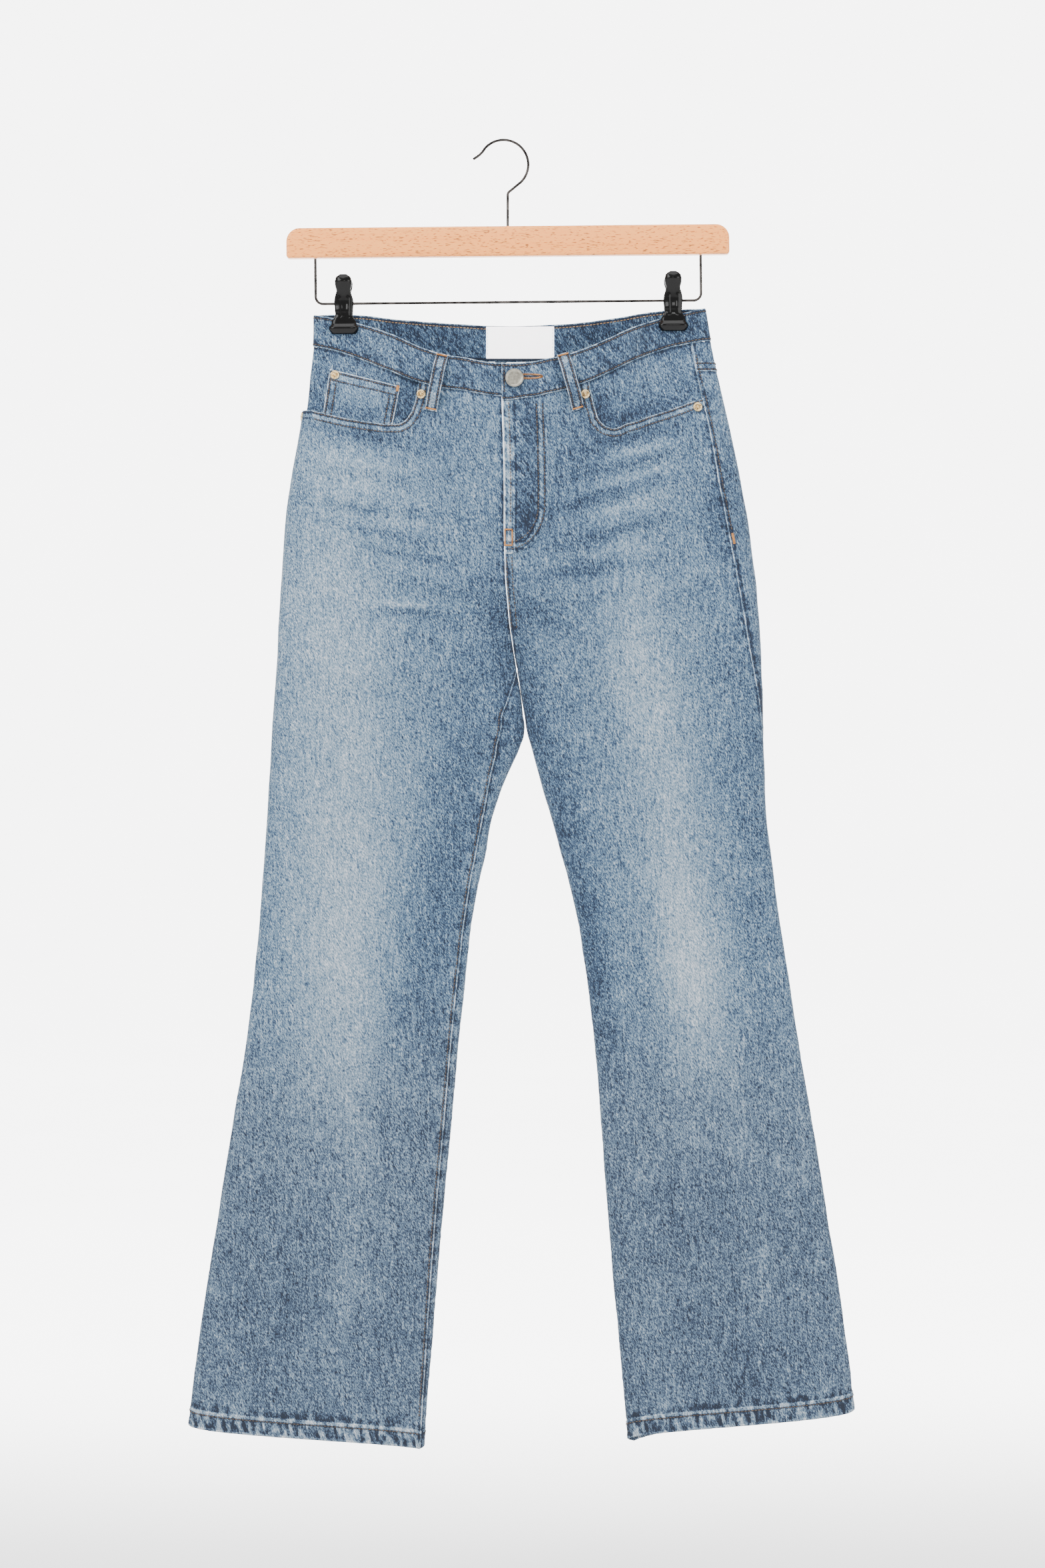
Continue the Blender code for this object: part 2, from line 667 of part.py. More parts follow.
def waistband():
    """One strip round the waist. Its left end is the tab, and its right end runs under it."""
    halves = {}
    for side in (-1, 1):
        centre_part, side_part = front_waist_turns(side)
        halves[side] = np.concatenate([centre_part, side_part[1:], back_waist_turns(side)])
    under_x = SECTION["centre"](TAB_LEVEL) + np.linspace(3, UNDERLAP, 4)
    under = turn_at(1, under_x, TAB_LEVEL)
    turn = np.concatenate([halves[1], halves[-1][::-1][1:], under])
    side = np.concatenate([np.ones(len(halves[1])), -np.ones(len(halves[-1]) - 1), np.ones(len(under))])
    x = surface(side, turn, BAND_LEVEL)[:, 0]
    top = np.where(turn >= 0, WAIST_EDGE["front_top"](x), WAIST_EDGE["back_top"](x))
    foot = np.where(side > 0, waist_seam(1, turn), waist_seam(-1, turn))
    past_tab = np.arange(len(turn)) >= len(halves[1])
    under_tab = ease((x - LAP_START_X) / LAP_SLOPE) * (turn >= 0) * past_tab
    lift = BAND_PROUD - UNDERLAP_SINK * under_tab
    step = np.linspace(0, 1, 4)[:, None]
    return patch("waistband", side, turn, top + (foot - top) * step, lift, BAND_CLOTH, denim)


def label():
    """The woven label sewn inside the back of the waistband."""
    x = np.linspace(-19, 46.5, 8)
    drop = np.broadcast_to(np.linspace(176.2, 206.8, 4)[:, None], (4, len(x)))
    side, turn = place(np.broadcast_to(x, drop.shape), drop, back=True)
    lift = BAND_PROUD - BAND_CLOTH - GAP
    return patch("label", side, turn, drop, lift, LABEL_CLOTH, label_white)


FLY_WIDTH = 43
FLY_FOOT = 398
FLY_ROUND = 46


def fly_placket():
    """The fly's raised facing on the left front, rounded into a J at its foot."""
    drop = np.concatenate([np.linspace(251.5, FLY_FOOT - FLY_ROUND, 6),
                           FLY_FOOT - FLY_ROUND + FLY_ROUND * np.sin(np.linspace(0, 1, 8)[1:] * math.pi / 2 * 0.93)])
    rounding = np.clip((drop - (FLY_FOOT - FLY_ROUND)) / FLY_ROUND, 0, 1)
    width = FLY_WIDTH * np.sqrt(1 - rounding ** 2)
    inner = inner_edge(1, drop) + GAP
    x = inner[:, None] + width[:, None] * np.linspace(0, 1, 6)
    drop = np.broadcast_to(drop[:, None], x.shape)
    turn = turn_at(1, x, drop)
    return patch("fly_placket", 1, turn, drop, GAP + PLACKET_CLOTH, PLACKET_CLOTH, denim)


# Pockets

FACING_SINK = {-1: CLOTH + 4 * GAP + PATCH_CLOTH, 1: CLOTH + 2 * GAP}
FACING_TOP_SINK = 0.3


def edge_drop(side, x):
    """The drop of the pocket opening's edge at x."""
    edge = resampled(pocket_edge(side), 60)
    order = np.argsort(edge[:, 0])
    return np.interp(x, edge[order, 0], edge[order, 1])


def edge_distance(x, drop, side):
    """Distance from the pocket opening's edge, negative under the front panel."""
    edge = resampled(pocket_edge(side), 60)
    away = np.min(np.hypot(x[..., None] - edge[:, 0], drop[..., None] - edge[:, 1]), axis=-1)
    past_end = side * x < side * edge[-1, 0]
    return np.where((drop > edge_drop(side, x)) | past_end, -away, away)


def facing_sink(side, x, drop):
    away = edge_distance(x, drop, side)
    deep = FACING_SINK[side]
    return -(deep + (FACING_TOP_SINK - deep) * ease((away - 4) / 34))


def pocket_facing(side, name):
    """The denim behind a front pocket opening, sewn to the waistband and the side seam."""
    centre_part, side_part = front_waist_turns(side)
    top_turn = np.concatenate([side_part[::-1], centre_part[-2:-1]])
    top = waist_seam(side, top_turn) + GAP
    x = surface(side, top_turn, 245.0)[:, 0]
    foot = np.maximum(edge_drop(side, x) + FACING_TUCK, top + FACING_LEAST)
    drop = top + (foot - top) * np.linspace(0, 1, 10)[:, None]
    share = (top_turn - top_turn[0]) / (top_turn[-1] - top_turn[0])
    start = beside(side, seam_turn(side, drop, "outseam"), drop, GAP / 2)
    turn = start + (top_turn[-1] - start) * share
    turn[0, 1:] = top_turn[1:]
    x = surface(side, turn, drop)[..., 0]
    return patch(name, side, turn, drop, facing_sink(side, x, drop), CLOTH, denim_dark)


def coin_pocket():
    """The small pocket on the right facing. Its foot goes down behind the front panel."""
    along = np.linspace(0, 1, 9)
    down = np.linspace(0, 1, 8)[:, None]
    left_top, right_top = np.array((-168.5, 219.5)), np.array((-100.8, 237.4))
    left_foot, right_foot = np.array((-178.0, 277)), np.array((-111.0, 287))
    x = (left_top[0] + (right_top[0] - left_top[0]) * along) * (1 - down) \
        + (left_foot[0] + (right_foot[0] - left_foot[0]) * along) * down
    drop = (left_top[1] + (right_top[1] - left_top[1]) * along) * (1 - down) \
        + (left_foot[1] + (right_foot[1] - left_foot[1]) * along) * down
    lift = facing_sink(-1, x, drop) + 2 * GAP + PATCH_CLOTH
    return patch("coin_pocket", -1, turn_at(-1, x, drop), drop, lift, PATCH_CLOTH, denim)


BACK_POCKET_COLUMNS = ("side", "centre_x", "top_drop")
BACK_POCKETS = ((-1, -98, 292), (1, 108, 290))
BACK_POCKET_WIDTH = 138
BACK_POCKET_HEIGHT = 128
BACK_POCKET_POINT = 18


def back_pocket(side, centre_x, top_drop, name):
    """A five-sided patch pocket, narrower at the foot, which comes to a blunt point."""
    along = np.linspace(-1, 1, 9)
    down = np.linspace(0, 1, 9)[:, None]
    half = BACK_POCKET_WIDTH / 2 * (1 - 0.1 * down)
    x = centre_x + half * along
    drop = top_drop + BACK_POCKET_HEIGHT * down + BACK_POCKET_POINT * (1 - np.abs(along)) * down
    drop = drop + side * along * 3
    turn = turn_at(side, x, drop, back=True)
    return patch(name, side, turn, drop, GAP + PATCH_CLOTH, PATCH_CLOTH, denim)


# Belt loops, rivets and the button

def belt_loop(name, top_x, top_drop, foot_x, foot_drop, on_back):
    """A strip sewn down at both ends, with room behind it for a belt."""
    along = np.concatenate([[0, 0.05], np.linspace(0.09, 0.3, 4), np.linspace(0.42, 0.6, 3),
                            np.linspace(0.7, 0.91, 4), [0.95, 1]])[:, None]
    across = np.linspace(-0.5, 0.5, 3) * LOOP_WIDTH
    lean = (foot_x - top_x) / (foot_drop - top_drop)
    x = top_x + (foot_x - top_x) * along + across
    drop = top_drop + (foot_drop - top_drop) * along + across * -lean
    side, turn = place(x, drop, on_back)
    arch = ease(np.clip((along - 0.05) / 0.22, 0, 1)) * ease(np.clip((0.95 - along) / 0.22, 0, 1))
    foot_sink = BAND_PROUD * ease((along - 0.7) / 0.2)
    lift = BAND_PROUD - foot_sink + GAP + LOOP_CLOTH + LOOP_ROOM * arch + 0.25
    return patch(name, side, turn, drop, lift, LOOP_CLOTH, denim)


def turned(name, profile_points, steps, material, ring=False):
    """A turned solid: the profile is (radius, height) in millimetres, from the top down."""
    mesh = bpy.data.meshes.new(name)
    points = [(radius * MM, 0, height * MM) for radius, height in profile_points]
    edges = [(i, i + 1) for i in range(len(points) - 1)]
    if ring:
        edges.append((len(points) - 1, 0))
    mesh.from_pydata(points, edges, [])
    made = add_object(name, mesh, material)
    screw = made.modifiers.new("turn", "SCREW")
    screw.steps = steps
    screw.render_steps = steps
    screw.use_merge_vertices = True
    screw.merge_threshold = 0.00001
    return made


def seat_on(made, side, turn, drop, lift):
    """Stands a turned piece on the cloth, its axis along the cloth's outward direction."""
    point = lifted(side, turn, drop, lift)
    normal = outward(np.asarray(float(side)), np.asarray(float(turn)), np.asarray(float(drop)))
    made.location = [float(value) * MM for value in point]
    made.rotation_mode = "QUATERNION"
    made.rotation_quaternion = Vector(normal.tolist()).to_track_quat("Z", "Y")


def rivet(name, side, turn, drop, lift):
    """A domed nipple rivet with a rolled rim."""
    edge = RIVET_RADIUS
    made = turned(name, ((0, 1.9), (1.2, 1.6), (1.9, 0.9), (3.4, 1.2), (edge, 0.6), (edge, 0), (0, 0)),
                  12, brass)
    seat_on(made, side, turn, drop, lift)


def rivets():
    for name, x, drop, on_pocket in RIVETS:
        side, turn = place(x, drop)
        lift = GAP + 0.1
        if on_pocket:
            lift += float(facing_sink(int(side), np.array(x), np.array(drop))) + 2 * GAP + PATCH_CLOTH
        rivet(name, float(side), float(turn), drop, lift)
    rivet("rivet_front_right_outer", -1.0, EDGE_RIVET_TURN, EDGE_RIVET_DROP, -EDGE_RIVET_SINK)


def waist_button():
    """A shank button with a flat face, through the waistband's tab."""
    x, drop = BUTTON_PLACE
    radius, foot = BUTTON_RADIUS, SHANK_LENGTH
    top = foot + BUTTON_THICK
    made = turned("waist_button", ((0, top - 0.3), (radius - 2, top - 0.3), (radius - 1.2, top),
                                   (radius - 0.5, top - 0.2), (radius, top - 1), (radius - 0.3, foot + 0.4),
                                   (radius - 1.5, foot), (SHANK_RADIUS, foot), (SHANK_RADIUS, 0), (0, 0)),
                  24, nickel)
    side, turn = place(x, drop)
    seat_on(made, float(side), float(turn), drop, BAND_PROUD + GAP)


# The hanger

def wire(name, points, material, parent=None):
    """A round wire through points given as (x, y, z) in millimetres."""
    curve = bpy.data.curves.new(name, "CURVE")
    curve.dimensions = "3D"
    curve.bevel_depth = WIRE_RADIUS * MM
    curve.bevel_resolution = 2
    curve.use_fill_caps = True
    spline = curve.splines.new("POLY")
    spline.points.add(len(points) - 1)
    for target, point in zip(spline.points, points):
        target.co = (*[value * MM for value in point], 1)
    return add_object(name, curve, material, parent)


def arc(centre_x, centre_z, radius, first, last, steps):
    """Points on an arc in the XZ plane, between two angles in degrees."""
    angles = [math.radians(first + (last - first) * i / steps) for i in range(steps + 1)]
    return [(centre_x + radius * math.cos(a), 0, centre_z + radius * math.sin(a)) for a in angles]


def hanger_bar(parent):
    """The beech bar: top corners well rounded, edges eased."""
    half, height = BAR_WIDTH / 2 - BAR_EDGE, BAR_HEIGHT - BAR_EDGE
    top, foot = -BAR_EDGE, -height
    big, small = BAR_TOP_CORNER, BAR_FOOT_CORNER
    outline = arc(half - big, top - big, big, 0, 90, 6) + arc(-half + big, top - big, big, 90, 180, 6) \
        + arc(-half + small, foot + small, small, 180, 270, 3) + arc(half - small, foot + small, small, 270, 360, 3)
    curve = bpy.data.curves.new("hanger_bar", "CURVE")
    curve.dimensions = "2D"
    curve.fill_mode = "BOTH"
    curve.extrude = (BAR_THICK / 2 - BAR_EDGE) * MM
    curve.bevel_depth = BAR_EDGE * MM
    curve.bevel_resolution = 1
    spline = curve.splines.new("POLY")
    spline.points.add(len(outline) - 1)
    for target, (x, _, z) in zip(spline.points, outline):
        target.co = (x * MM, z * MM, 0, 1)
    spline.use_cyclic_u = True
    made = add_object("hanger_bar", curve, beech, parent)
    made.rotation_euler = (math.pi / 2, 0, 0)
    return made


def hanger_hook():
    """The steel hook: a stem, a knee, and a round crook that ends in a turned-out tip."""
    centre_z = -math.sqrt((HOOK_RADIUS - WIRE_RADIUS) ** 2 - HOOK_CENTRE_X ** 2)
    crook = arc(HOOK_CENTRE_X, centre_z, HOOK_RADIUS, -45, 140, 22)
    bend = 4
    knee = arc(BAR_X + bend, -HOOK_KNEE_DROP - 1, bend, 180, 137, 3)
    stem = [(BAR_X, 0, -BAR_DROP + GAP), (BAR_X, 0, -HOOK_KNEE_DROP - 6)]
    last = np.array(crook[-1])
    tip = np.array((HOOK_TIP[0], 0, -HOOK_TIP[1]))
    middle = last + (tip - last) * 0.45 + np.array((0.6, 0, -0.9))
    return wire("hanger_hook", stem + knee + crook + [tuple(middle), tuple(tip)], steel)


def hanger_rail(parent):
    """The wire rail under the bar, which the clips slide on."""
    half, depth, bend = RAIL_HALF_WIDTH, RAIL_DEPTH, RAIL_BEND
    top = -BAR_HEIGHT - GAP
    left = [(-half, 0, top)] + arc(-half + bend, -depth + bend, bend, 180, 270, 6)
    middle = [(x, 0, -depth) for x in (-60, 60)]
    right = arc(half - bend, -depth + bend, bend, 270, 360, 6) + [(half, 0, top)]
    return wire("hanger_rail", left + middle + right, steel, parent)


def clip_lever(name, clip_x, face, parent):
    """One coated lever of a clip: a rounded thumb pad, a neck, a body and a square jaw."""
    corner = 0.72
    ring = ((-1, corner), (-corner, 1), (corner, 1), (1, corner), (1, -corner), (corner, -1), (-corner, -1), (-1, -corner))
    points = []
    for height, width, inner, thick in LEVER:
        for across, out in ring:
            y = face * (inner + thick * (out + 1) / 2)
            points.append((across * width / 2 * MM, y * MM, -height * MM))
    count = len(ring)
    faces = [tuple(range(count)), tuple(range(len(points) - 1, len(points) - count - 1, -1))]
    for row in range(len(LEVER) - 1):
        for i in range(count):
            j = (i + 1) % count
            start = row * count
            faces.append((start + j, start + i, start + count + i, start + count + j))
    if face > 0:
        faces = [tuple(reversed(f)) for f in faces]
    mesh = bpy.data.meshes.new(name)
    mesh.from_pydata(points, [], faces)
    made = add_object(name, mesh, black, parent)
    made.location = (clip_x * MM, 0, -CLIP_TOP * MM)
    return made


def clip_spring(name, clip_x, parent):
    """The spring wound round the rail between a clip's levers."""
    bore, outer, half = WIRE_RADIUS + GAP, SPRING_RADIUS, SPRING_LENGTH / 2
    made = turned(name, ((bore, half), (outer, half), (outer, -half), (bore, -half)), 16, steel, ring=True)
    made.parent = parent
    made.location = (clip_x * MM, 0, -RAIL_DEPTH * MM)
    made.rotation_euler = (0, math.pi / 2, 0)
    return made


def hanger():
    """The hanger: all but its hook hang a little aslant, as one."""
    aslant = bpy.data.objects.new("hanger", None)
    garment.objects.link(aslant)
    aslant.location = (BAR_X * MM, 0, -BAR_DROP * MM)
    aslant.rotation_euler = (0, -BAR_TILT, 0)
    hanger_bar(aslant)
    hanger_hook()
    hanger_rail(aslant)
    for side_name, clip_x in (("right", -CLIP_SPACING), ("left", CLIP_SPACING)):
        clip_lever(f"clip_{side_name}_front", clip_x, -1, aslant)
        clip_lever(f"clip_{side_name}_back", clip_x, 1, aslant)
        clip_spring(f"clip_{side_name}_spring", clip_x, aslant)


for old in list(bpy.data.objects):
    bpy.data.objects.remove(old, do_unlink=True)
garment = bpy.data.collections.new("bootcut_jeans")
bpy.context.scene.collection.children.link(garment)

denim = principled("washed denim", DENIM, 0.85)
denim_dark = principled("unfaded denim", DENIM_DARK, 0.85)
label_white = principled("white label", WHITE, 0.7)
nickel = principled("nickel", NICKEL, 0.38, 1.0)
brass = principled("brass", BRASS, 0.3, 1.0)
beech = principled("beech", BEECH, 0.5)
steel = principled("steel wire", STEEL, 0.25, 1.0)
black = principled("black coating", BLACK, 0.3)

for side, name in ((-1, "right"), (1, "left")):
    front_panel(side, f"front_{name}")
    back_panel(side, f"back_{name}")
    yoke(side, f"yoke_{name}")
    pocket_facing(side, f"pocket_facing_{name}")
for (side, centre_x, top_drop), name in zip(BACK_POCKETS, ("right", "left")):
    back_pocket(side, centre_x, top_drop, f"back_pocket_{name}")
waistband()
label()
fly_placket()
coin_pocket()
for row in BELT_LOOPS:
    belt_loop(*row)
rivets()
waist_button()
hanger()
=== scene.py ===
"""Washed bootcut jeans on a wooden clip hanger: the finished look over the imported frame."""

import math

import bmesh
import bpy
import numpy as np
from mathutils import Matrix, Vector


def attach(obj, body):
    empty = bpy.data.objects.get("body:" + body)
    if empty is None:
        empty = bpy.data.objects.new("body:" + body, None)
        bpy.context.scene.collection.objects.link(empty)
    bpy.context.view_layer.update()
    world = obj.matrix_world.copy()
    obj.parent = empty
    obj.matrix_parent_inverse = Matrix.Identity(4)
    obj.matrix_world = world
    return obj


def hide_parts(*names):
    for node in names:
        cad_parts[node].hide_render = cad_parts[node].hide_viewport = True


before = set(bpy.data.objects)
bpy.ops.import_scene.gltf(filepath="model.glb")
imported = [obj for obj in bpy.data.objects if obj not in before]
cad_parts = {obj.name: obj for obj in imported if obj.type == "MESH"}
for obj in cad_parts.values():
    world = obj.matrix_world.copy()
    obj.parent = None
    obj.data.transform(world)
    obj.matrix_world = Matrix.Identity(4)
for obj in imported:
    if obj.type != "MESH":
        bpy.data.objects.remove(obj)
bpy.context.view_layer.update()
MM = 0.001

# Cloth walls, in millimetres, as in the model
CLOTH = 1.2
BAND_CLOTH = 2.2
HEM_CLOTH = 2.6
LOOP_CLOTH = 1.6
PATCH_CLOTH = 1.0
PLACKET_CLOTH = 0.7
LABEL_CLOTH = 0.6
GAP = 0.3
BAND_PROUD = 0.8
HEM_PROUD = 0.7
# The hem as it shows: its height, and how high its stitches run
HEM_HEIGHT = 17.5
HEM_STITCH = 14.2
# How far the waistband runs on under the tab, and how far the right front sinks beside the fly
UNDERLAP = 24
TAB_LIP = 1.5
# A distance out of reach of every mark
FAR = 99.0
# A folded edge is rounded over this length, and pared to this share of its wall
ROUND_REACH = 0.9
ROUNDING = 0.94

# The garment's sections: the outline's sides, the line between the halves, half the space
# between the legs, and how far the cloth bows out at the front and the back.
SECTION_COLUMNS = ("drop", "right_side", "left_side", "centre", "apart", "front", "back")
SECTIONS = (
    (160, -184, 191, -5.0, 0.2, 17, 15),
    (210, -186, 200, -4.5, 0.2, 20, 17),
    (250, -193, 209, -3.8, 0.2, 22, 20),
    (290, -200, 218, -2.5, 0.2, 23, 23),
    (330, -207, 226, -1.8, 0.2, 24, 26),
    (400, -214, 237, -1.0, 0.2, 25, 29),
    (445, -217, 242, 1.9, 0.2, 25, 30),
    (480, -219, 244.5, 6.0, 0.2, 24, 29),
    (507, -220.5, 245.5, 10.5, 0.2, 22, 27),
    (550, -223.5, 246.5, 17.0, 0.4, 19, 23),
    (566, -224.5, 247, 19.0, 0.8, 19, 22),
    (580, -225, 247.5, 19.0, 4.6, 18, 21),
    (595, -225.5, 248, 17.8, 9.9, 18, 20),
    (613, -227, 249, 16.2, 16.6, 17, 19),
    (632, -228, 249.5, 15.5, 23.0, 17, 19),
    (685, -232, 255, 16.6, 36.5, 15, 17),
    (735, -235.5, 261, 18.0, 48.0, 14, 16),
    (785, -240, 269, 19.2, 55.8, 13, 15),
    (840, -246, 277, 19.8, 62.3, 12.5, 14),
    (940, -262, 294, 19.6, 71.5, 12, 13),
    (1040, -277.5, 310, 18.6, 80.0, 12, 13),
    (1145, -294, 326, 19.0, 89.0, 12, 13),
    (1230, -304, 335.5, 19.4, 96.5, 13, 13),
    (1270, -308, 339, 19.6, 100.0, 13, 13),
)
# Where the legs part, how far above it the halves begin to close, and how blunt a section is
FORK = 507
FRONT_RISE_CURVE = 85
BACK_RISE_CURVE = 105
BLUNTNESS = 0.6

# The waist's edges, as drops
WAIST_COLUMNS = ("x", "front_top", "front_seam", "back_top", "back_seam")
WAIST = (
    (-186, 167.0, 197.0, 167.0, 197.0),
    (-155, 172.5, 204.5, 166.5, 198.5),
    (-112, 186.0, 222.0, 169.0, 202.0),
    (-72, 203.0, 236.5, 172.0, 206.0),
    (-40, 209.5, 241.7, 174.0, 208.5),
    (-5, 214.5, 247.0, 175.5, 210.0),
    (20, 214.2, 248.3, 175.4, 210.0),
    (40, 210.5, 244.5, 174.6, 209.0),
    (73, 201.8, 235.0, 172.6, 206.0),
    (99, 191.4, 224.0, 169.5, 202.0),
    (147, 172.2, 202.2, 163.6, 195.0),
    (171, 166.4, 195.8, 161.5, 192.6),
    (200, 160.5, 191.5, 160.5, 191.5),
)

# How far each seam lies in from the outline: front is positive, round the back negative
SEAM_COLUMNS = ("drop", "right_outseam", "left_outseam", "right_inseam", "left_inseam")
SEAMS = (
    (160, -7, 18, 0, 0),
    (210, -7, 19, 0, 0),
    (290, -8, 20, 0, 0),
    (350, -8, 21, 0, 0),
    (400, -8, 18.5, 0, 0),
    (455, -8, 14.5, 0, 0),
    (507, -8, 8, 0, 0),
    (535, -8, 3.5, 12, -12),
    (566, -8, 0.5, 23, -20),
    (594, -8, -4, 19, -18),
    (632, -8, -7, 11, -14),
    (685, -8, -8, 9, -10),
    (840, -8, -8, 7.5, -8),
    (1040, -8, -8, 6.5, -8),
    (1195, -8, -8, 4.5, -6),
    (1270, -8, -8, 3, -5),
)
YOKE_AT_SIDE = 30
YOKE_AT_CENTRE = 58
HEMS = {-1: (1228.5, 1254.5), 1: (1213.5, 1248.5)}

# The front pocket openings, from the side seam to the waistband seam
POCKET_EDGES = {
    -1: ((-186.5, 259), (-169, 263.5), (-141, 269.5), (-126, 271.7), (-109, 273),
         (-99, 271.7), (-93, 266), (-88, 256), (-85.5, 246), (-83.5, 235)),
    1: ((190.5, 247.5), (179, 251), (163, 257), (139, 265), (115, 273),
        (99, 276.5), (91.5, 272), (86, 260), (82.5, 247.5), (79.5, 232)),
}

# Soft folds. Each row is x, drop, half the length, half the width, slope and height. The slope
# is in degrees, rising to the right, and the height is out of the cloth.
FRONT_FOLDS = (
    (-150, 312, 60, 9, -6, 1.4),
    (-140, 346, 62, 9, -12, 1.5),
    (-125, 380, 70, 10, -12, 1.2),
    (-60, 425, 45, 10, -20, 1.2),
    (135, 302, 65, 9, 12, 1.4),
    (125, 334, 70, 9, 14, 1.5),
    (110, 366, 70, 10, 14, 1.2),
    (55, 398, 42, 9, 22, 1.4),
    (-40, 540, 60, 14, 62, -1.6),
    (95, 560, 70, 14, -66, -1.6),
    (137, 838, 48, 15, -62, -2.2),
    (-150, 850, 60, 18, 72, -1.8),
    (-170, 1040, 150, 24, 84, 2.0),
    (205, 1060, 150, 24, -82, 2.0),
)
BACK_FOLDS = (
    (-120, 455, 60, 10, 14, 1.6),
    (130, 450, 62, 10, -16, 1.6),
    (-100, 492, 66, 11, 18, 1.8),
    (115, 488, 66, 11, -18, 1.8),
    (-120, 790, 50, 12, 8, 1.8),
    (160, 800, 52, 12, -9, 1.8),
    (-185, 1050, 150, 24, 84, 2.0),
    (215, 1040, 150, 24, -82, 2.0),
)
# Small creases that the model leaves out, most of them where the clips pull the waistband
SMALL_FOLDS = (
    (-125, 203, 24, 6, -45, 1.4),
    (-138, 186, 18, 4, -62, 1.1),
    (-106, 212, 22, 4.5, -30, 0.9),
    (112, 203, 24, 6, 42, 1.4),
    (126, 190, 18, 4, 60, 1.1),
    (96, 216, 20, 4.5, 30, 0.9),
    (-36, 226, 16, 4, -70, 0.6),
    (-92, 447, 44, 4, -4, 0.9),
    (-74, 462, 36, 5, -10, -0.7),
    (-168, 420, 40, 6, 12, 0.6),
    (172, 330, 34, 6, 20, 0.8),
    (160, 420, 50, 7, 16, 0.7),
    (40, 428, 30, 5, 30, 0.7),
    (186, 452, 38, 6, 8, -0.7),
    (-60, 610, 60, 7, 74, 0.8),
    (-96, 760, 60, 8, 80, 0.7),
    (112, 730, 70, 8, -78, 0.8),
    (-190, 930, 70, 8, 62, 0.9),
    (-130, 1000, 80, 9, 78, -0.9),
    (-205, 1120, 80, 8, 74, -0.9),
    (232, 960, 90, 9, -68, -1.0),
    (176, 1020, 90, 8, -80, 0.9),
    (262, 1130, 70, 8, -72, 0.8),
)

# The clips press the waistband flat to this depth, over these widths and this far down
CLIP_PINCH = 2.6
PINCH_FLAT = 14
PINCH_REACH = 52
PINCH_FOOT = 186
PINCH_FADE = 90
BAR_X = 1.8
CLIP_SPACING = 158


# Curves through the tables

def smooth_curve(places, values):
    """A smooth function through a table's rows, level beyond its ends."""
    places = np.array(places, float)
    values = np.array(values, float)
    slopes = np.gradient(values, places)

    def at(place):
        place = np.clip(place, places[0], places[-1])
        row = np.searchsorted(places, place, side="right") - 1
        row = np.clip(row, 0, len(places) - 2)
        span = places[row + 1] - places[row]
        t = (place - places[row]) / span
        start = values[row] + (slopes[row] * span) * t
        end = values[row + 1] - (slopes[row + 1] * span) * (1 - t)
        return start + (end - start) * t * t * (3 - 2 * t)

    return at


def curves(columns, rows):
    """A smooth curve for each named column against the first one."""
    table = np.array(rows, float).T
    return {name: smooth_curve(table[0], column) for name, column in zip(columns[1:], table[1:])}


SECTION = curves(SECTION_COLUMNS, SECTIONS)
WAIST_EDGE = curves(WAIST_COLUMNS, WAIST)
SEAM = curves(SEAM_COLUMNS, SEAMS)


def ease(t):
    """0 to 1, with no corner at either end."""
    t = np.clip(t, 0, 1)
    return t * t * (3 - 2 * t)


def bell(distance, width, centre=0):
    """1 at the centre, fading out on both sides."""
    return np.exp(-((distance - centre) / width) ** 2)


def spread(*values):
    """The values as arrays of one shape."""
    return np.broadcast_arrays(*(np.asarray(value, float) for value in values))


def unit(vectors):
    return vectors / np.linalg.norm(vectors, axis=-1, keepdims=True)


def lengths(points):
    """How far along a line each of its points lies."""
    return np.concatenate([[0], np.cumsum(np.linalg.norm(np.diff(points, axis=0), axis=1))])


# The garment's surface. A place on it is a side (-1 the wearer's right, 1 the left), a turn
# and a drop. The turn is 1 at the front's inner edge, 0 at the outline's side and -1 at the
# back's inner edge, and past 1 or -1 it goes on round the inside of the leg.

def inner_edge(side, drop):
    return SECTION["centre"](drop) + side * np.maximum(SECTION["apart"](drop), GAP / 2)


def outer_edge(side, drop):
    return np.where(side > 0, SECTION["left_side"](drop), SECTION["right_side"](drop))


def closing(drop, rise_curve):
    """0 where the halves are open to each other, 1 where each is a closed leg."""
    return (1 - np.clip((FORK - drop) / rise_curve, 0, 1)) ** 1.5


def profile(turn, drop):
    """How far out a place is from the inner edge (0 to 1), and how deep it bows (0 to 1)."""
    away = 1 - np.abs(turn)
    closed = np.where(turn >= 0, closing(drop, FRONT_RISE_CURVE), closing(drop, BACK_RISE_CURVE))
    quarter = away * math.pi / 2
    open_run = np.sin(quarter)
    open_bow = np.clip(np.cos(quarter), 0, 1) ** BLUNTNESS
    leg_run = (1 - np.cos(away * math.pi)) / 2
    leg_bow = np.clip(np.sin(away * math.pi), 0, 1) ** BLUNTNESS
    return open_run + (leg_run - open_run) * closed, open_bow + (leg_bow - open_bow) * closed


def fold_height(x, drop, folds):
    """How far the folds push the cloth out."""
    total = np.zeros(np.broadcast(x, drop).shape)
    for fold_x, fold_drop, half_length, half_width, slope, height in folds:
        angle = math.radians(slope)
        along = (x - fold_x) * math.cos(angle) - (drop - fold_drop) * math.sin(angle)
        across = (x - fold_x) * math.sin(angle) + (drop - fold_drop) * math.cos(angle)
        total += height * np.exp(-(along / half_length) ** 2 * 2 - (across / half_width) ** 2)
    return total


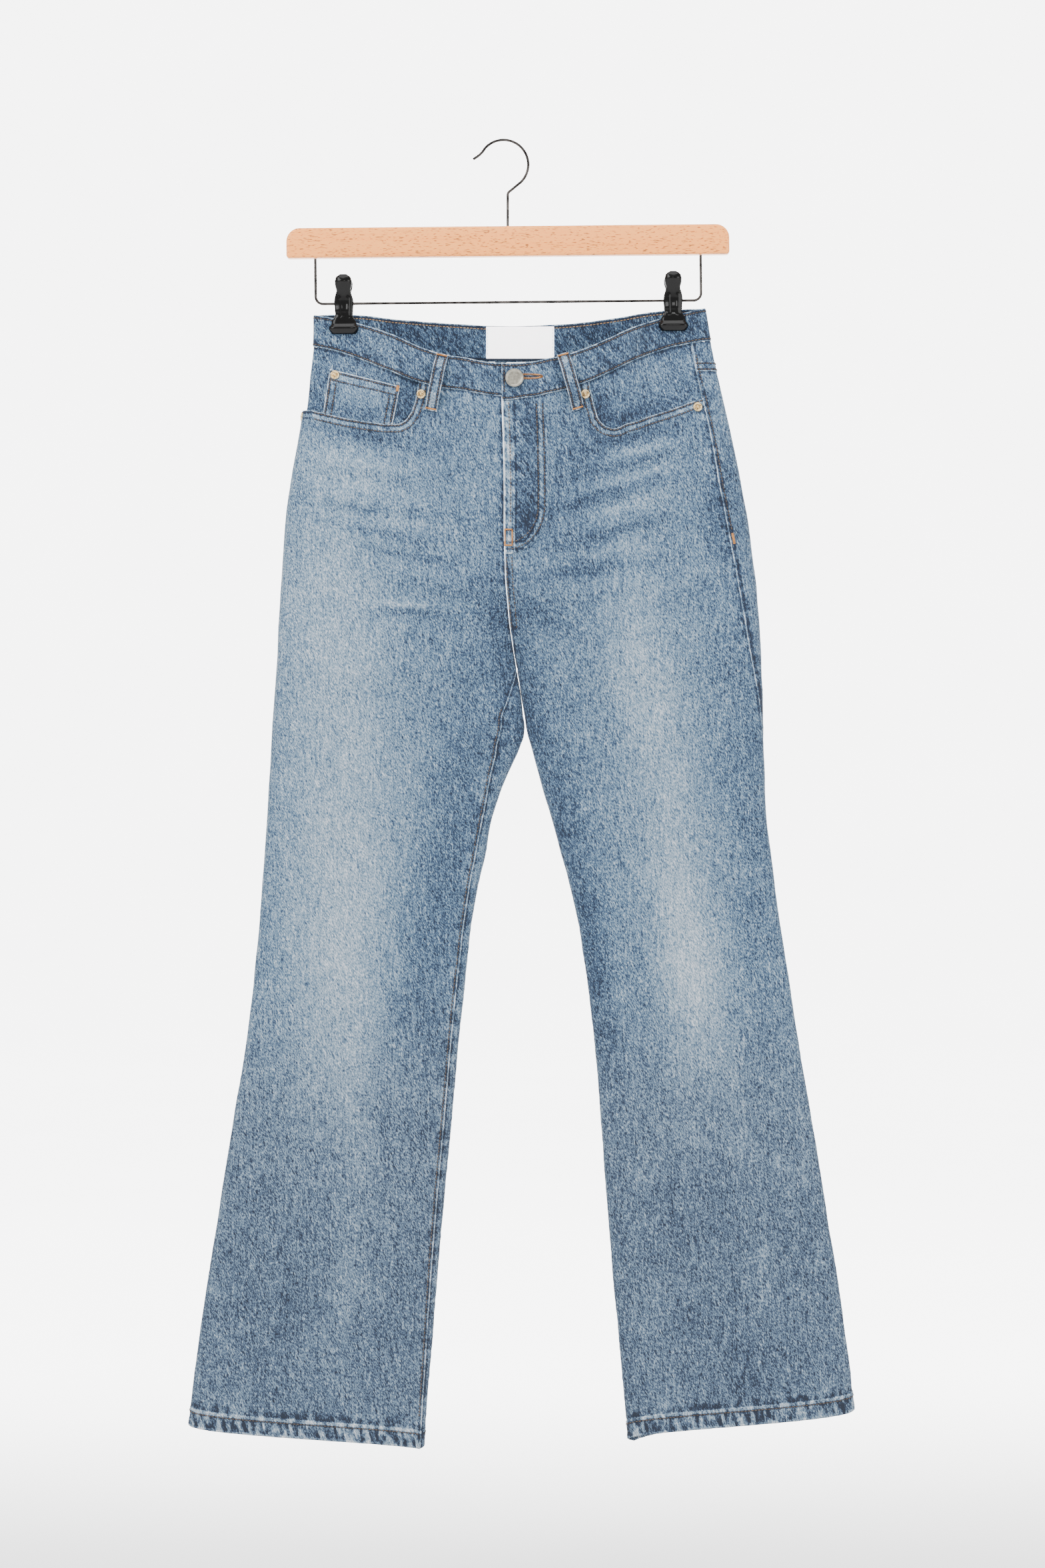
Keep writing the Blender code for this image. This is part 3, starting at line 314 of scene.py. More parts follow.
def surface(side, turn, drop):
    """Points of the garment's outer surface, in millimetres."""
    turn = np.where(turn > 1, turn - 2, np.where(turn < -1, turn + 2, turn))
    run, bow = profile(turn, drop)
    inner = inner_edge(side, drop)
    x = inner + (outer_edge(side, drop) - inner) * run
    front = turn >= 0
    depth = np.where(front, SECTION["front"](drop), SECTION["back"](drop)) * bow
    folds = np.where(front, fold_height(x, drop, FRONT_FOLDS), fold_height(x, drop, BACK_FOLDS))
    depth = depth + folds * ease(bow * 1.4)
    for clip_x in (BAR_X - CLIP_SPACING, BAR_X + CLIP_SPACING):
        near = ease((PINCH_REACH - np.abs(x - clip_x)) / (PINCH_REACH - PINCH_FLAT))
        near = near * (1 - ease((drop - PINCH_FOOT) / PINCH_FADE))
        depth = depth + (CLIP_PINCH * ease(bow * 3) - depth) * near
    return np.stack(np.broadcast_arrays(x, np.where(front, -depth, depth), -drop), axis=-1)


def outward(side, turn, drop):
    """The surface's outward direction."""
    side, turn, drop = spread(side, turn, drop)
    step = 0.004
    torso = drop < FORK
    whole = np.where(torso, 1.0, 2.0)
    ahead = surface(side, np.minimum(turn + step, whole), drop)
    behind = surface(side, np.maximum(turn - step, -whole), drop)
    below = surface(side, turn, drop + 1)
    above = surface(side, turn, drop - 1)
    normal = np.cross(ahead - behind, below - above) * side[..., None]
    normal[..., 0] *= np.where(torso, ease((1 - np.abs(turn)) / 0.08), 1.0)
    return unit(normal)


def lifted(side, turn, drop, lift):
    """Points moved out from the surface by lift."""
    side, turn, drop, lift = spread(side, turn, drop, lift)
    return surface(side, turn, drop) + outward(side, turn, drop) * lift[..., None]


def turn_at(side, x, drop, back=False):
    """The turn of the place at x, on the front or the back."""
    side, x, drop = spread(side, x, drop)
    sign = -1.0 if back else 1.0
    inner = inner_edge(side, drop)
    wanted = np.clip((x - inner) / (outer_edge(side, drop) - inner), 0, 1)
    low, high = np.zeros(x.shape), np.ones(x.shape)
    for _ in range(30):
        middle = (low + high) / 2
        run = profile(sign * middle, drop)[0]
        low = np.where(run > wanted, middle, low)
        high = np.where(run > wanted, high, middle)
    return sign * (low + high) / 2


def place(x, drop, back=False):
    """The side and the turn of the place at x on the front or the back."""
    side = np.where(np.asarray(x) < SECTION["centre"](drop), -1.0, 1.0)
    return side, turn_at(side, x, drop, back)


def seam_turn(side, drop, seam):
    """The turn of the outseam or the inseam, which may lie on the front or round the back."""
    inset = SEAM[("left_" if side > 0 else "right_") + seam](drop)
    outer, inner = outer_edge(side, drop), inner_edge(side, drop)
    if seam == "outseam":
        x = outer - side * np.abs(inset)
        return np.where(inset >= 0, turn_at(side, x, drop), turn_at(side, x, drop, back=True))
    x = inner + side * np.abs(inset)
    on_back = turn_at(side, x, drop, back=True) + 2
    return np.where(drop <= FORK, 1.0, np.where(inset >= 0, turn_at(side, x, drop), on_back))


def inner_seam(side, drop, front):
    """The turn of a panel's inner edge: the centre seam above the fork, the inseam below."""
    seam = seam_turn(side, drop, "inseam")
    return np.where(drop < FORK, 1.0, seam) if front else np.where(drop < FORK, -1.0, seam - 2)


def reach(side, turn, drop, seam):
    """How far along the cloth a turn lies from a seam's turn."""
    middle = (turn + seam) / 2
    whole = np.where(drop < FORK, 1.0, 2.0)
    high, low = np.minimum(middle + 0.004, whole), np.maximum(middle - 0.004, -whole)
    across = np.linalg.norm(surface(side, high, drop) - surface(side, low, drop), axis=-1)
    return np.abs(turn - seam) * across / (high - low)


def resampled(points, count):
    """Points evenly spaced along a smooth line through the given ones."""
    points = np.array(points, float)
    length = lengths(points)
    along = np.linspace(0, length[-1], count)
    return np.stack([smooth_curve(length, points[:, k])(along) for k in range(2)], axis=1)


def pocket_line(side, count):
    """Turns and drops along a pocket opening's edge, closer together where the cloth turns back."""
    x, drop = resampled(POCKET_EDGES[side], 200).T
    seam = float(seam_turn(side, float(drop[0]), "outseam"))
    round_turn = np.linspace(seam, 0, 60)[:-1] if seam < 0 else np.zeros(0)
    turn = np.concatenate([round_turn, np.maximum(turn_at(side, x, drop), max(seam, 0))])
    drop = np.concatenate([np.full(len(round_turn), drop[0]), drop])
    points = surface(side, turn, drop)
    steps = np.linalg.norm(np.diff(points, axis=0), axis=1) + 150 * np.abs(np.diff(turn))
    length = np.concatenate([[0], np.cumsum(steps)])
    along = np.linspace(0, length[-1], count)
    return np.interp(along, length, turn), np.interp(along, length, drop)


def waist_seam(side, turn):
    """The drop of the waistband's lower seam at a turn."""
    front = np.asarray(turn) >= 0
    drop = np.full(np.shape(turn), 205.0)
    for _ in range(8):
        x = surface(side, turn, drop)[..., 0]
        tab = 3.5 * ease(1 - (x + 5) / 24) if side > 0 else 0
        drop = np.where(front, WAIST_EDGE["front_seam"](x) + tab, WAIST_EDGE["back_seam"](x))
    return drop


# Unevenness: sums of waves that never repeat in step, so that puckers differ from each other

def waves(place, length, seed):
    """A wavy value from about -1 to 1 along a line, with waves of about this length."""
    total = 0
    for share, weight, shift in ((1.0, 0.5, 0.3), (0.62, 0.3, 1.7), (1.73, 0.35, 4.1)):
        total = total + weight * np.sin(place * (2 * math.pi / (length * share)) + seed * 2.4 + shift)
    return total


def drape(x, drop):
    """The slight ease of cloth that hangs free."""
    slow = 0.45 * waves(x + 0.25 * drop, 130, 1) * waves(drop - 0.3 * x, 170, 2)
    return slow + 0.2 * waves(drop + x, 60, 3)


def puckers(height, along, length, seed, distance, width):
    """Puckers of this height and length along a seam, which fade out away from it."""
    return height * waves(along, length, seed) * bell(distance, width)


def ridge(distance, width, height):
    """Layers of a seam under the cloth, which end at this width."""
    return height * (1 - ease((distance - width) / 2.2))


# Finishes

def linear(hexadecimal):
    """An sRGB colour as linear red, green, blue and alpha."""
    parts = [int(hexadecimal[i:i + 2], 16) / 255 for i in (1, 3, 5)]
    return [p / 12.92 if p <= 0.04045 else ((p + 0.055) / 1.055) ** 2.4 for p in parts] + [1.0]


def node(tree, kind, settings=None, values=None, links=None):
    """Adds a node, sets its options and its inputs, and links sockets into it."""
    made = tree.nodes.new(kind)
    for key, value in (settings or {}).items():
        setattr(made, key, value)
    for key, value in (values or {}).items():
        made.inputs[key].default_value = value
    for key, socket in (links or {}).items():
        tree.links.new(socket, made.inputs[key])
    return made


def new_material(name, inputs):
    """A Principled material. Returns it, its tree, its shader and the object's own coordinates."""
    material = bpy.data.materials.new(name)
    material.use_nodes = True
    tree = material.node_tree
    shader = tree.nodes["Principled BSDF"]
    for key, value in inputs.items():
        shader.inputs[key].default_value = value
    coordinates = node(tree, "ShaderNodeTexCoord").outputs["Object"]
    return material, tree, shader, coordinates


def noise(tree, coordinates, size, detail=2.0, roughness=0.5, turn=0.0):
    """Noise with patches of this size in millimetres along x, y and z, turned in the xz plane."""
    if turn:
        coordinates = node(tree, "ShaderNodeMapping", values={"Rotation": (0, math.radians(turn), 0)},
                           links={"Vector": coordinates}).outputs[0]
    scale = [1000 / length for length in size]
    scaled = node(tree, "ShaderNodeMapping", values={"Scale": scale}, links={"Vector": coordinates})
    made = node(tree, "ShaderNodeTexNoise", values={"Scale": 1.0, "Detail": detail, "Roughness": roughness},
                links={"Vector": scaled.outputs[0]})
    return made.outputs["Fac"]


def span(tree, socket, low, high, to_low=0.0, to_high=1.0):
    """Maps low..high smoothly to to_low..to_high, and holds the ends."""
    made = node(tree, "ShaderNodeMapRange", {"interpolation_type": "SMOOTHSTEP"},
                {"From Min": low, "From Max": high, "To Min": to_low, "To Max": to_high}, {"Value": socket})
    return made.outputs[0]


def maths(tree, operation, first, second):
    """One sum on sockets or numbers."""
    made = node(tree, "ShaderNodeMath", {"operation": operation})
    for place_in, value in enumerate((first, second)):
        if isinstance(value, (int, float)):
            made.inputs[place_in].default_value = value
        else:
            tree.links.new(value, made.inputs[place_in])
    return made.outputs[0]


def times(tree, first, *others):
    """The product of sockets or numbers."""
    for other in others:
        first = maths(tree, "MULTIPLY", first, other)
    return first


def fade(tree, socket, low, high):
    """1 up to low, then down to 0 at high."""
    return span(tree, socket, low, high, 1.0, 0.0)


def stripe(tree, socket, rise, top, end, fall):
    """Rises to 1 between rise and top, and falls back to 0 between end and fall."""
    return times(tree, span(tree, socket, rise, top), fade(tree, socket, end, fall))


def total(tree, start, terms):
    """start plus each socket less its middle, times its weight, which may be a socket."""
    for socket, middle, weight in terms:
        part = maths(tree, "SUBTRACT", socket, middle)
        start = maths(tree, "ADD", maths(tree, "MULTIPLY", part, weight), start)
    return start


def attribute(tree, name):
    return node(tree, "ShaderNodeAttribute", {"attribute_name": name}).outputs["Fac"]


def ramp(tree, socket, stops):
    """A colour ramp from (position, colour) pairs."""
    made = node(tree, "ShaderNodeValToRGB", links={"Fac": socket})
    elements = made.color_ramp.elements
    while len(elements) < len(stops):
        elements.new(0.5)
    for element, (position, colour) in zip(elements, stops):
        element.position = position
        element.color = linear(colour)
    return made.outputs["Color"]


def paint(tree, shader, socket, stops):
    """Colours the shader by a ramp, and returns the colour."""
    colour = ramp(tree, socket, stops)
    tree.links.new(colour, shader.inputs["Base Color"])
    return colour


def bump(tree, shader, height, distance_mm, strength=1.0):
    made = node(tree, "ShaderNodeBump", values={"Strength": strength, "Distance": distance_mm * MM},
                links={"Height": height})
    tree.links.new(made.outputs["Normal"], shader.inputs["Normal"])


# Indigo from unworn to worn white, against the cloth's lightness
INDIGO = ((0.12, "#192436"), (0.24, "#2a3d5a"), (0.31, "#3c526e"), (0.38, "#4b647f"), (0.45, "#5d7892"),
          (0.52, "#6d8aa3"), (0.58, "#7e98af"), (0.64, "#91a7ba"), (0.70, "#a4b4c4"), (0.76, "#b3c2cf"),
          (0.83, "#c7d1dc"), (0.93, "#e2e6ec"))
MID_WASH = 0.445


def washed_denim(name, shift, creased=0.14):
    """Stone-washed indigo twill. The points carry how worn the cloth is and their distances in
    millimetres from seams and hems, where the wash wears ridges white. The hollows beside them are
    painted dark, as painted shade and partly as dye the wash missed.
    """
    material, tree, shader, own = new_material(name, {
        "Roughness": 0.82, "Specular IOR Level": 0.25, "Sheen Weight": 0.12, "Sheen Roughness": 0.6})
    side_mm, level_mm, hem_mm = (attribute(tree, key) for key in ("side_mm", "level_mm", "hem_mm"))
    wash, inside = attribute(tree, "wash"), attribute(tree, "inside")
    # Yarn flecks, which slant with the twill: real ones are 0.5 mm wide. Drawn at 0.8 by 2.3 mm.
    fleck = noise(tree, own, (0.8, 0.8, 2.3), 2.5, 0.62, turn=24)
    # Slubs, the thick places of the warp yarns: 1.5 mm wide and 21 mm long, as on the real cloth
    slub = noise(tree, own, (1.5, 1.5, 21), 2.0, 0.6)
    # Right-hand twill: the real line is 0.9 mm apart. Drawn at 2.1 mm.
    twill = noise(tree, own, (1.2, 1.2, 7), 1.0, 0.4, turn=24)
    patches = noise(tree, own, (8, 8, 13), 2.0, 0.6)
    clouds = noise(tree, own, (34, 34, 48), 2.0, 0.55)
    across = span(tree, noise(tree, own, (15, 15, 8), 2.0, 0.5), 0.36, 0.64)
    upright = span(tree, noise(tree, own, (7, 7, 16), 2.0, 0.5), 0.30, 0.70)
    streak = noise(tree, own, (2.6, 2.6, 26), 2.0, 0.6, turn=44)
    # Crackle: short light lines where the cloth was creased in the wash, on the lower legs
    axes = node(tree, "ShaderNodeSeparateXYZ", links={0: own}).outputs
    low = span(tree, axes["Z"], -0.72, -1.0)
    swirl = node(tree, "ShaderNodeTexNoise", values={"Scale": 60.0}, links={"Vector": own})
    bent = node(tree, "ShaderNodeVectorMath", {"operation": "MULTIPLY_ADD"}, {1: (0.012, 0.012, 0.012)},
                {0: swirl.outputs["Color"], 2: own})
    cells = node(tree, "ShaderNodeTexVoronoi", {"feature": "DISTANCE_TO_EDGE"}, {"Scale": 36.0},
                 {"Vector": bent.outputs[0]})
    crackle = fade(tree, cells.outputs["Distance"], 0.0, 0.06)
    crackle = times(tree, crackle, low, span(tree, clouds, 0.48, 0.66))

    light = maths(tree, "ADD", wash, MID_WASH + shift)
    # The worn ridge of each seam is light, with a dark line beside it: painted shade of the seam's crease,
    # and partly dye the wash missed
    for distance, grain, ridge_light, line_shade, flare in (
            (side_mm, across, 0.30, -0.20, 0.24), (level_mm, upright, 0.27, -0.17, 0.20)):
        worn = times(tree, fade(tree, distance, 0.5, 1.4), span(tree, patches, 0.3, 0.6, 0.45, 1.2))
        dark = stripe(tree, distance, 1.0, 1.8, 2.2, 4.2)
        puckered = times(tree, fade(tree, distance, 3.0, 12.0), flare)
        light = total(tree, light, ((worn, 0, ridge_light), (dark, 0, line_shade), (grain, 0.5, puckered)))
    # The hem is worn light along its edge and its stitches; the hollow above them is painted dark, as painted
    # shade
    in_hem = times(tree, fade(tree, hem_mm, 13.4, 14.6), span(tree, hem_mm, 1.0, 3.6, 0.25, 1.0))
    above_hem = fade(tree, hem_mm, 17.5, 34.0)
    edge_hem = fade(tree, hem_mm, 1.0, 3.4)
    ridge_hem = stripe(tree, hem_mm, 14.4, 15.2, 17.4, 18.8)
    shaded_hem_hollow = stripe(tree, hem_mm, 18.0, 19.4, 21.5, 26.0)
    # Rope marks: the turned hem twists into ridges about 9 mm apart, which lean a little
    leaning = total(tree, 0.0, ((axes["X"], 0, 714), (axes["Z"], 0, 214),
                                (noise(tree, own, (13, 13, 60), 1.0, 0.5), 0, 12)))
    uneven = span(tree, noise(tree, own, (9, 9, 60), 1.0, 0.5), 0.36, 0.62, 0.35, 1.15)
    roped = times(tree, span(tree, maths(tree, "SINE", leaning, 0), -0.25, 0.6), uneven)
    # The inner faces of the cloth are painted darker: painted shade inside the garment
    light = total(tree, light, ((roped, 0.32, times(tree, in_hem, -0.30)),
                                (upright, 0.5, times(tree, above_hem, 0.50)),
                                (edge_hem, 0, 0.20), (ridge_hem, 0, 0.20), (shaded_hem_hollow, 0, -0.13),
                                (inside, 0, -0.09), (crackle, 0, 0.08)))
    # A row of stitches pulls the cloth down into a groove, whose shade is painted as a dark line along the
    # row
    for key in ("row_mm", "row_two_mm"):
        off_row = maths(tree, "ABSOLUTE", attribute(tree, key), 0)
        light = total(tree, light, ((fade(tree, off_row, 0.5, 1.5), 0, -0.22),))
    # Flecks stand out more on darker, less worn cloth
    contrast = span(tree, light, 0.32, 0.64, 1.0, 0.85)
    light = total(tree, light, ((fleck, 0.5, times(tree, contrast, 1.7)),
                                (slub, 0.5, times(tree, contrast, 0.50)),
                                (twill, 0.5, times(tree, contrast, 0.45)),
                                (patches, 0.5, 0.11), (clouds, 0.5, 0.13), (streak, 0.5, creased)))
    # The lower legs are greyer, less blue
    tone = node(tree, "ShaderNodeHueSaturation", links={"Color": ramp(tree, light, INDIGO),
                                                        "Saturation": span(tree, low, 0.0, 1.0, 1.0, 0.88)})
    tree.links.new(tone.outputs[0], shader.inputs["Base Color"])
    height = total(tree, 0.0, ((fleck, 0, 0.5), (slub, 0, 0.5), (twill, 0, 0.4), (patches, 0, 0.6),
                               (roped, 0, times(tree, in_hem, -1.2))))
    bump(tree, shader, height, 0.55, 0.8)
    return material


denim = washed_denim("stone-washed indigo denim", 0.0)
dark_denim = washed_denim("less washed indigo denim", -0.075)
band_denim = washed_denim("creased indigo denim", -0.03, 0.75)


# Meshes of cloth

def mesh_of(name, points, faces, sharp=None, facing_out=False, scale=MM):
    """A smooth mesh of points in millimetres. Edges past sharp, in degrees, stay sharp."""
    mesh = bpy.data.meshes.new(name)
    mesh.from_pydata((np.array(points, float) * scale).tolist(), [], faces)
    if facing_out:
        solid = bmesh.new()
        solid.from_mesh(mesh)
        bmesh.ops.recalc_face_normals(solid, faces=solid.faces)
        solid.to_mesh(mesh)
        solid.free()
    mesh.polygons.foreach_set("use_smooth", [True] * len(mesh.polygons))
    if sharp:
        mesh.set_sharp_from_angle(angle=math.radians(sharp))
    return mesh


def cloth(name, side, turn, drop, lift, thick, material, marks, free=()):
    """A closed wall of cloth over a grid of places, which carries the marks its finish reads.
    free names the distances to the edges that are folded over and so are round.
    """
    side, turn, drop, lift, thick = spread(side, turn, drop, lift, thick)
    around = np.zeros(turn.shape)
    for distance in free:
        around = np.maximum(around, np.clip(1 - distance / ROUND_REACH, 0, 1))
    pared = thick / 2 * (1 - np.sqrt(1 - (around * ROUNDING) ** 2))
    outer = lifted(side, turn, drop, lift - pared)
    inner = lifted(side, turn, drop, lift - thick + pared)
    return shell(name, outer, inner, material, marks)


def shell(name, outer, inner, material, marks):
    """A closed mesh between two grids of points, in millimetres."""
    rows, columns = outer.shape[:2]
    index = np.arange(rows * columns).reshape(rows, columns)
    faces = np.stack([index[:-1, :-1], index[1:, :-1], index[1:, 1:], index[:-1, 1:]], axis=-1).reshape(-1, 4)
    rim = np.concatenate([index[0, :-1], index[:-1, -1], index[-1, :0:-1], index[:0:-1, 0]])
    after = np.roll(rim, -1)
    count = rows * columns
    rims = np.stack([rim, after, after + count, rim + count], axis=-1)
    faces = np.concatenate([faces, faces[:, ::-1] + count, rims])
    points = np.concatenate([outer.reshape(-1, 3), inner.reshape(-1, 3)])
    mesh = mesh_of(name, points, faces.tolist(), 65, facing_out=True)
    distances = dict.fromkeys(("side_mm", "level_mm", "hem_mm", "row_mm", "row_two_mm"), FAR)
    for key, value in ({"wash": 0.0} | distances | marks).items():
        value = np.broadcast_to(np.asarray(value, float), (rows, columns)).ravel()
        layer = mesh.attributes.new(key, "FLOAT", "POINT")
        layer.data.foreach_set("value", np.concatenate([value, value]).astype(np.float32))
    # inside marks the inner faces, which the denim paints darker as painted shade
    layer = mesh.attributes.new("inside", "FLOAT", "POINT")
    layer.data.foreach_set("value", np.repeat([0.0, 1.0], count).astype(np.float32))
    return piece(name, mesh, material)


def piece(name, data, material, parent=None):
    """An object of the garment or its hanger, which rides on the one body."""
    data.materials.append(material)
    made = bpy.data.objects.new(name, data)
    bpy.context.scene.collection.objects.link(made)
    if parent is None:
        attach(made, "root")
    else:
        made.parent = parent
    return made


# Sewing. A stitch is (start, end, outward direction), in millimetres.

STITCH = 2.5
STITCH_STEP = 3.3
THREAD = 0.52


def stitch_row(side, turn, drop, lift, length=STITCH, step=STITCH_STEP):
    """Stitches along a line of places on the garment."""
    side, turn, drop, lift = spread(side, turn, drop, lift)
    line = lifted(side, turn, drop, lift)
    facing = outward(side, turn, drop)
    reached = lengths(line)
    starts = np.arange(0.4, reached[-1] - length, step)

    def at(values, along):
        return np.stack([np.interp(along, reached, values[:, k]) for k in range(3)], axis=-1)

    return at(line, starts), at(line, starts + length), at(facing, starts + length / 2)


def zigzag(x, drop, end_x, end_drop, width, lift, back=False, step=0.8):
    """A bar tack: threads packed side by side across a short line."""
    length = math.hypot(end_x - x, end_drop - drop)
    along = np.arange(0, length, step)
    run = np.array((end_x - x, end_drop - drop)) / length
    middle_x, middle_drop = x + run[0] * along, drop + run[1] * along
    ends = []
    for sign in (-0.5, 0.5):
        at_x, at_drop = middle_x - run[1] * width * sign, middle_drop + run[0] * width * sign
        side, turn = place(at_x, at_drop, back)
        ends.append(lifted(side, turn, at_drop, lift))
    side, turn = place(middle_x, middle_drop, back)
    return ends[0], ends[1], outward(side, turn, middle_drop)


def sew(name, rows, material, on, radius=THREAD):
    """Builds stitches as short threads that dip into the cloth at both ends."""
    start, end, facing = (np.concatenate(parts) for parts in zip(*rows))
    along = end - start
    facing = unit(facing)
    across = unit(np.cross(along, facing))
    points = []
    for share, size, rise in ((0.0, 0.45, -0.12), (0.18, 1.0, 0.16), (0.82, 1.0, 0.16), (1.0, 0.45, -0.12)):
        middle = start + along * share + facing * rise
        for angle in (45, 135, 225, 315):
            ray = math.radians(angle)
            out = across * math.cos(ray) + facing * math.sin(ray) * 0.8
            points.append(middle + out * radius * size * 1.2)
    points = np.stack(points, axis=1)
    count, each = points.shape[:2]
    block = []
    for ring in range(3):
        for corner in range(4):
            a, b = ring * 4 + corner, ring * 4 + (corner + 1) % 4
            block.append((a, b, b + 4, a + 4))
    block += [(3, 2, 1, 0), (12, 13, 14, 15)]
    faces = (np.array(block)[None] + np.arange(count)[:, None, None] * each).reshape(-1, 4)
    return piece(name, mesh_of(name, points.reshape(-1, 3), faces.tolist()), material, parent=on)


def thread_material(name, colour, dark):
    """Core-spun polyester thread, faded unevenly by the wash."""
    material, tree, shader, own = new_material(name, {"Roughness": 0.6})
    paint(tree, shader, noise(tree, own, (6, 6, 6), 2.0, 0.6), ((0.35, dark), (0.62, colour)))
    bump(tree, shader, noise(tree, own, (0.4, 0.4, 0.4), 1.0), 0.1)
    return material


brown_thread = thread_material("faded brown thread", "#6a5b50", "#3d3632")
orange_thread = thread_material("orange bar tack thread", "#cf8f50", "#a3672f")
tan_thread = thread_material("tan thread", "#b3916b", "#8a6d50")


# Wash: lightness above or below the middle, in soft patches. Each row is like a fold's.

FRONT_WASH = (
    (-168, 440, 300, 60, 88, 0.15),
    (-158, 740, 260, 56, 86, 0.19),
    (-150, 860, 120, 40, 84, 0.06),
    (-150, 1060, 220, 15, 84, 0.09),
    (-212, 1110, 150, 16, 80, -0.05),
    (-48, 660, 280, 26, 82, -0.1),
    (-98, 930, 90, 12, 84, 0.04),
    (-228, 990, 120, 12, 80, -0.04),
    (152, 600, 260, 34, -80, 0.15),
    (176, 800, 150, 32, -79, 0.19),
    (120, 500, 110, 40, -66, 0.07),
    (50, 640, 200, 18, -78, -0.11),
    (86, 850, 130, 16, -77, -0.12),
    (236, 610, 330, 20, -86, -0.05),
    (212, 350, 60, 24, -84, -0.12),
    (4, 500, 130, 18, -80, -0.12),
    (20, 366, 30, 16, 88, -0.16),
    (22, 300, 90, 12, 88, -0.08),
    (62, 330, 60, 26, 84, -0.1),
    (88, 296, 26, 16, 60, -0.1),
    (60, 268, 40, 16, 10, -0.06),
    (-60, 262, 46, 14, -10, -0.06),
    (-132, 286, 60, 8, -9, -0.15),
    (-140, 310, 60, 7, -10, 0.075),
    (-70, 300, 60, 12, -22, 0.03),
    (-130, 334, 66, 6, -11, 0.075),
    (-140, 355, 66, 5, -10, -0.12),
    (-115, 379, 60, 5, -12, -0.135),
    (-100, 366, 60, 4, -12, 0.06),
    (-92, 399, 70, 5, -10, -0.12),
    (-122, 419, 60, 7, -9, 0.01),
    (-60, 432, 60, 5, -16, -0.075),
    (-92, 446, 46, 3.2, -4, 0.18),
    (-92, 454, 50, 5, -4, -0.135),
    (-40, 470, 40, 8, -18, 0.03),
    (132, 284, 50, 7, 14, -0.15),
    (124, 299, 60, 5, 12, 0.105),
    (112, 312, 60, 5, 13, -0.09),
    (118, 325, 66, 5, 14, 0.105),
    (86, 344, 60, 6, 18, -0.135),
    (113, 352, 60, 5, 17, 0.105),
    (104, 376, 70, 6, 16, -0.15),
    (89, 396, 66, 5, 14, 0.08),
    (70, 415, 60, 6, 9, -0.135),
    (82, 429, 60, 6, 10, 0.05),
    (171, 420, 44, 6, 22, 0.075),
    (160, 444, 44, 6, 18, -0.06),
    (40, 458, 46, 12, -30, -0.08),
    (-30, 350, 90, 22, 84, 0.01),
    (200, 960, 130, 16, -80, -0.03),
    (240, 1030, 200, 14, -79, 0.02),
    (170, 1100, 140, 14, -82, -0.05),
    (-190, 1180, 60, 26, 80, -0.04),
    (230, 1190, 70, 36, -80, -0.07),
    (212, 402, 8, 5, 60, -0.12),
    (224, 442, 8, 6, 50, -0.12),
    (238, 498, 9, 6, 50, -0.12),
    (246, 546, 9, 6, 50, -0.1),
    (75, 402, 36, 24, 10, -0.08),
    (-3, 366, 10, 9, 0, -0.1),
    (-62, 294, 24, 13, -20, -0.07),
    (70, 442, 60, 11, 10, -0.06),
    (199, 362, 30, 10, -84, -0.07),
    (154, 326, 15, 8, 0, -0.07),
    (20, 562, 42, 10, 88, -0.12),
    (-4, 578, 30, 8, 88, -0.07),
    (86, 768, 110, 12, -80, -0.11),
    (-95, 850, 190, 46, 87, -0.06),
)
BACK_WASH = (
    (-110, 470, 200, 60, 88, 0.12),
    (125, 470, 200, 60, -86, 0.12),
    (-130, 660, 240, 44, 86, 0.07),
    (145, 660, 240, 44, -83, 0.07),
    (-140, 800, 60, 9, 8, -0.06),
    (-138, 782, 56, 7, 8, 0.06),
    (165, 802, 60, 9, -9, -0.06),
    (163, 784, 56, 7, -9, 0.06),
    (-175, 1000, 260, 26, 84, 0.04),
    (200, 1000, 260, 26, -82, 0.04),
    (8, 500, 120, 15, 88, -0.08),
    (-110, 430, 70, 8, 12, 0.04),
    (120, 432, 70, 8, -12, 0.04),
)


def wash_at(turn, x, drop):
    """How worn the cloth is. The lower legs are less worn all round."""
    turn = np.where(turn > 1, turn - 2, np.where(turn < -1, turn + 2, turn))
    low = -0.085 * ease((drop - 780) / 280)
    return low + np.where(turn >= 0, fold_height(x, drop, FRONT_WASH), fold_height(x, drop, BACK_WASH))


# Front panels: the two front legs of the jeans, cut from stone-washed denim, 1.2 mm thick.
# Each is cut away at its pocket opening, which is turned in and sewn twice, and ends in a
# roped hem.

FRONT_COLUMNS = 108
POCKET_COLUMNS = 50
BACK_COLUMNS = 84
# Above this drop a panel's place is marked from the pocket or the waist seam
UPPER_DROP = 310
LEVEL_DROP = 335
ROW_STEP = 3.2


def hem_row(side, level, share):
    """A row across a leg: level above the fork, and more and more aslant down to the hem."""
    outer, inner = HEMS[side]
    aslant = ease((level - FORK) / ((outer + inner) / 2 - FORK))
    return level + (inner - outer) * aslant * (share - 0.5)


def panel_turns(side, drop, share, front):
    outseam = seam_turn(side, drop, "outseam")
    return outseam + (inner_seam(side, drop, front) - outseam) * share


def leg_grid(side, top_share, front, row_step=ROW_STEP):
    """Turns and drops of a panel's rows from LEVEL_DROP to the hem."""
    middle = sum(HEMS[side]) / 2
    hem_top = middle - HEM_HEIGHT
    levels = np.concatenate([
        np.arange(LEVEL_DROP + row_step, hem_top - 16, row_step), np.arange(hem_top - 15, hem_top - 1, 2.2),
        hem_top + np.array((-0.7, -0.2, 0.3, 0.9)), np.arange(hem_top + 2.4, middle - 1.4, 1.6),
        middle - np.array((0.9, 0.5, 0.2, 0.0))])
    even = np.linspace(0, 1, len(top_share))
    turns, drops = [], []
    for level in levels:
        share = top_share + (even - top_share) * ease((level - LEVEL_DROP) / 150)
        drop = hem_row(side, level, share)
        turns.append(panel_turns(side, drop, share, front))
        drops.append(drop)
    return np.array(turns), np.array(drops)


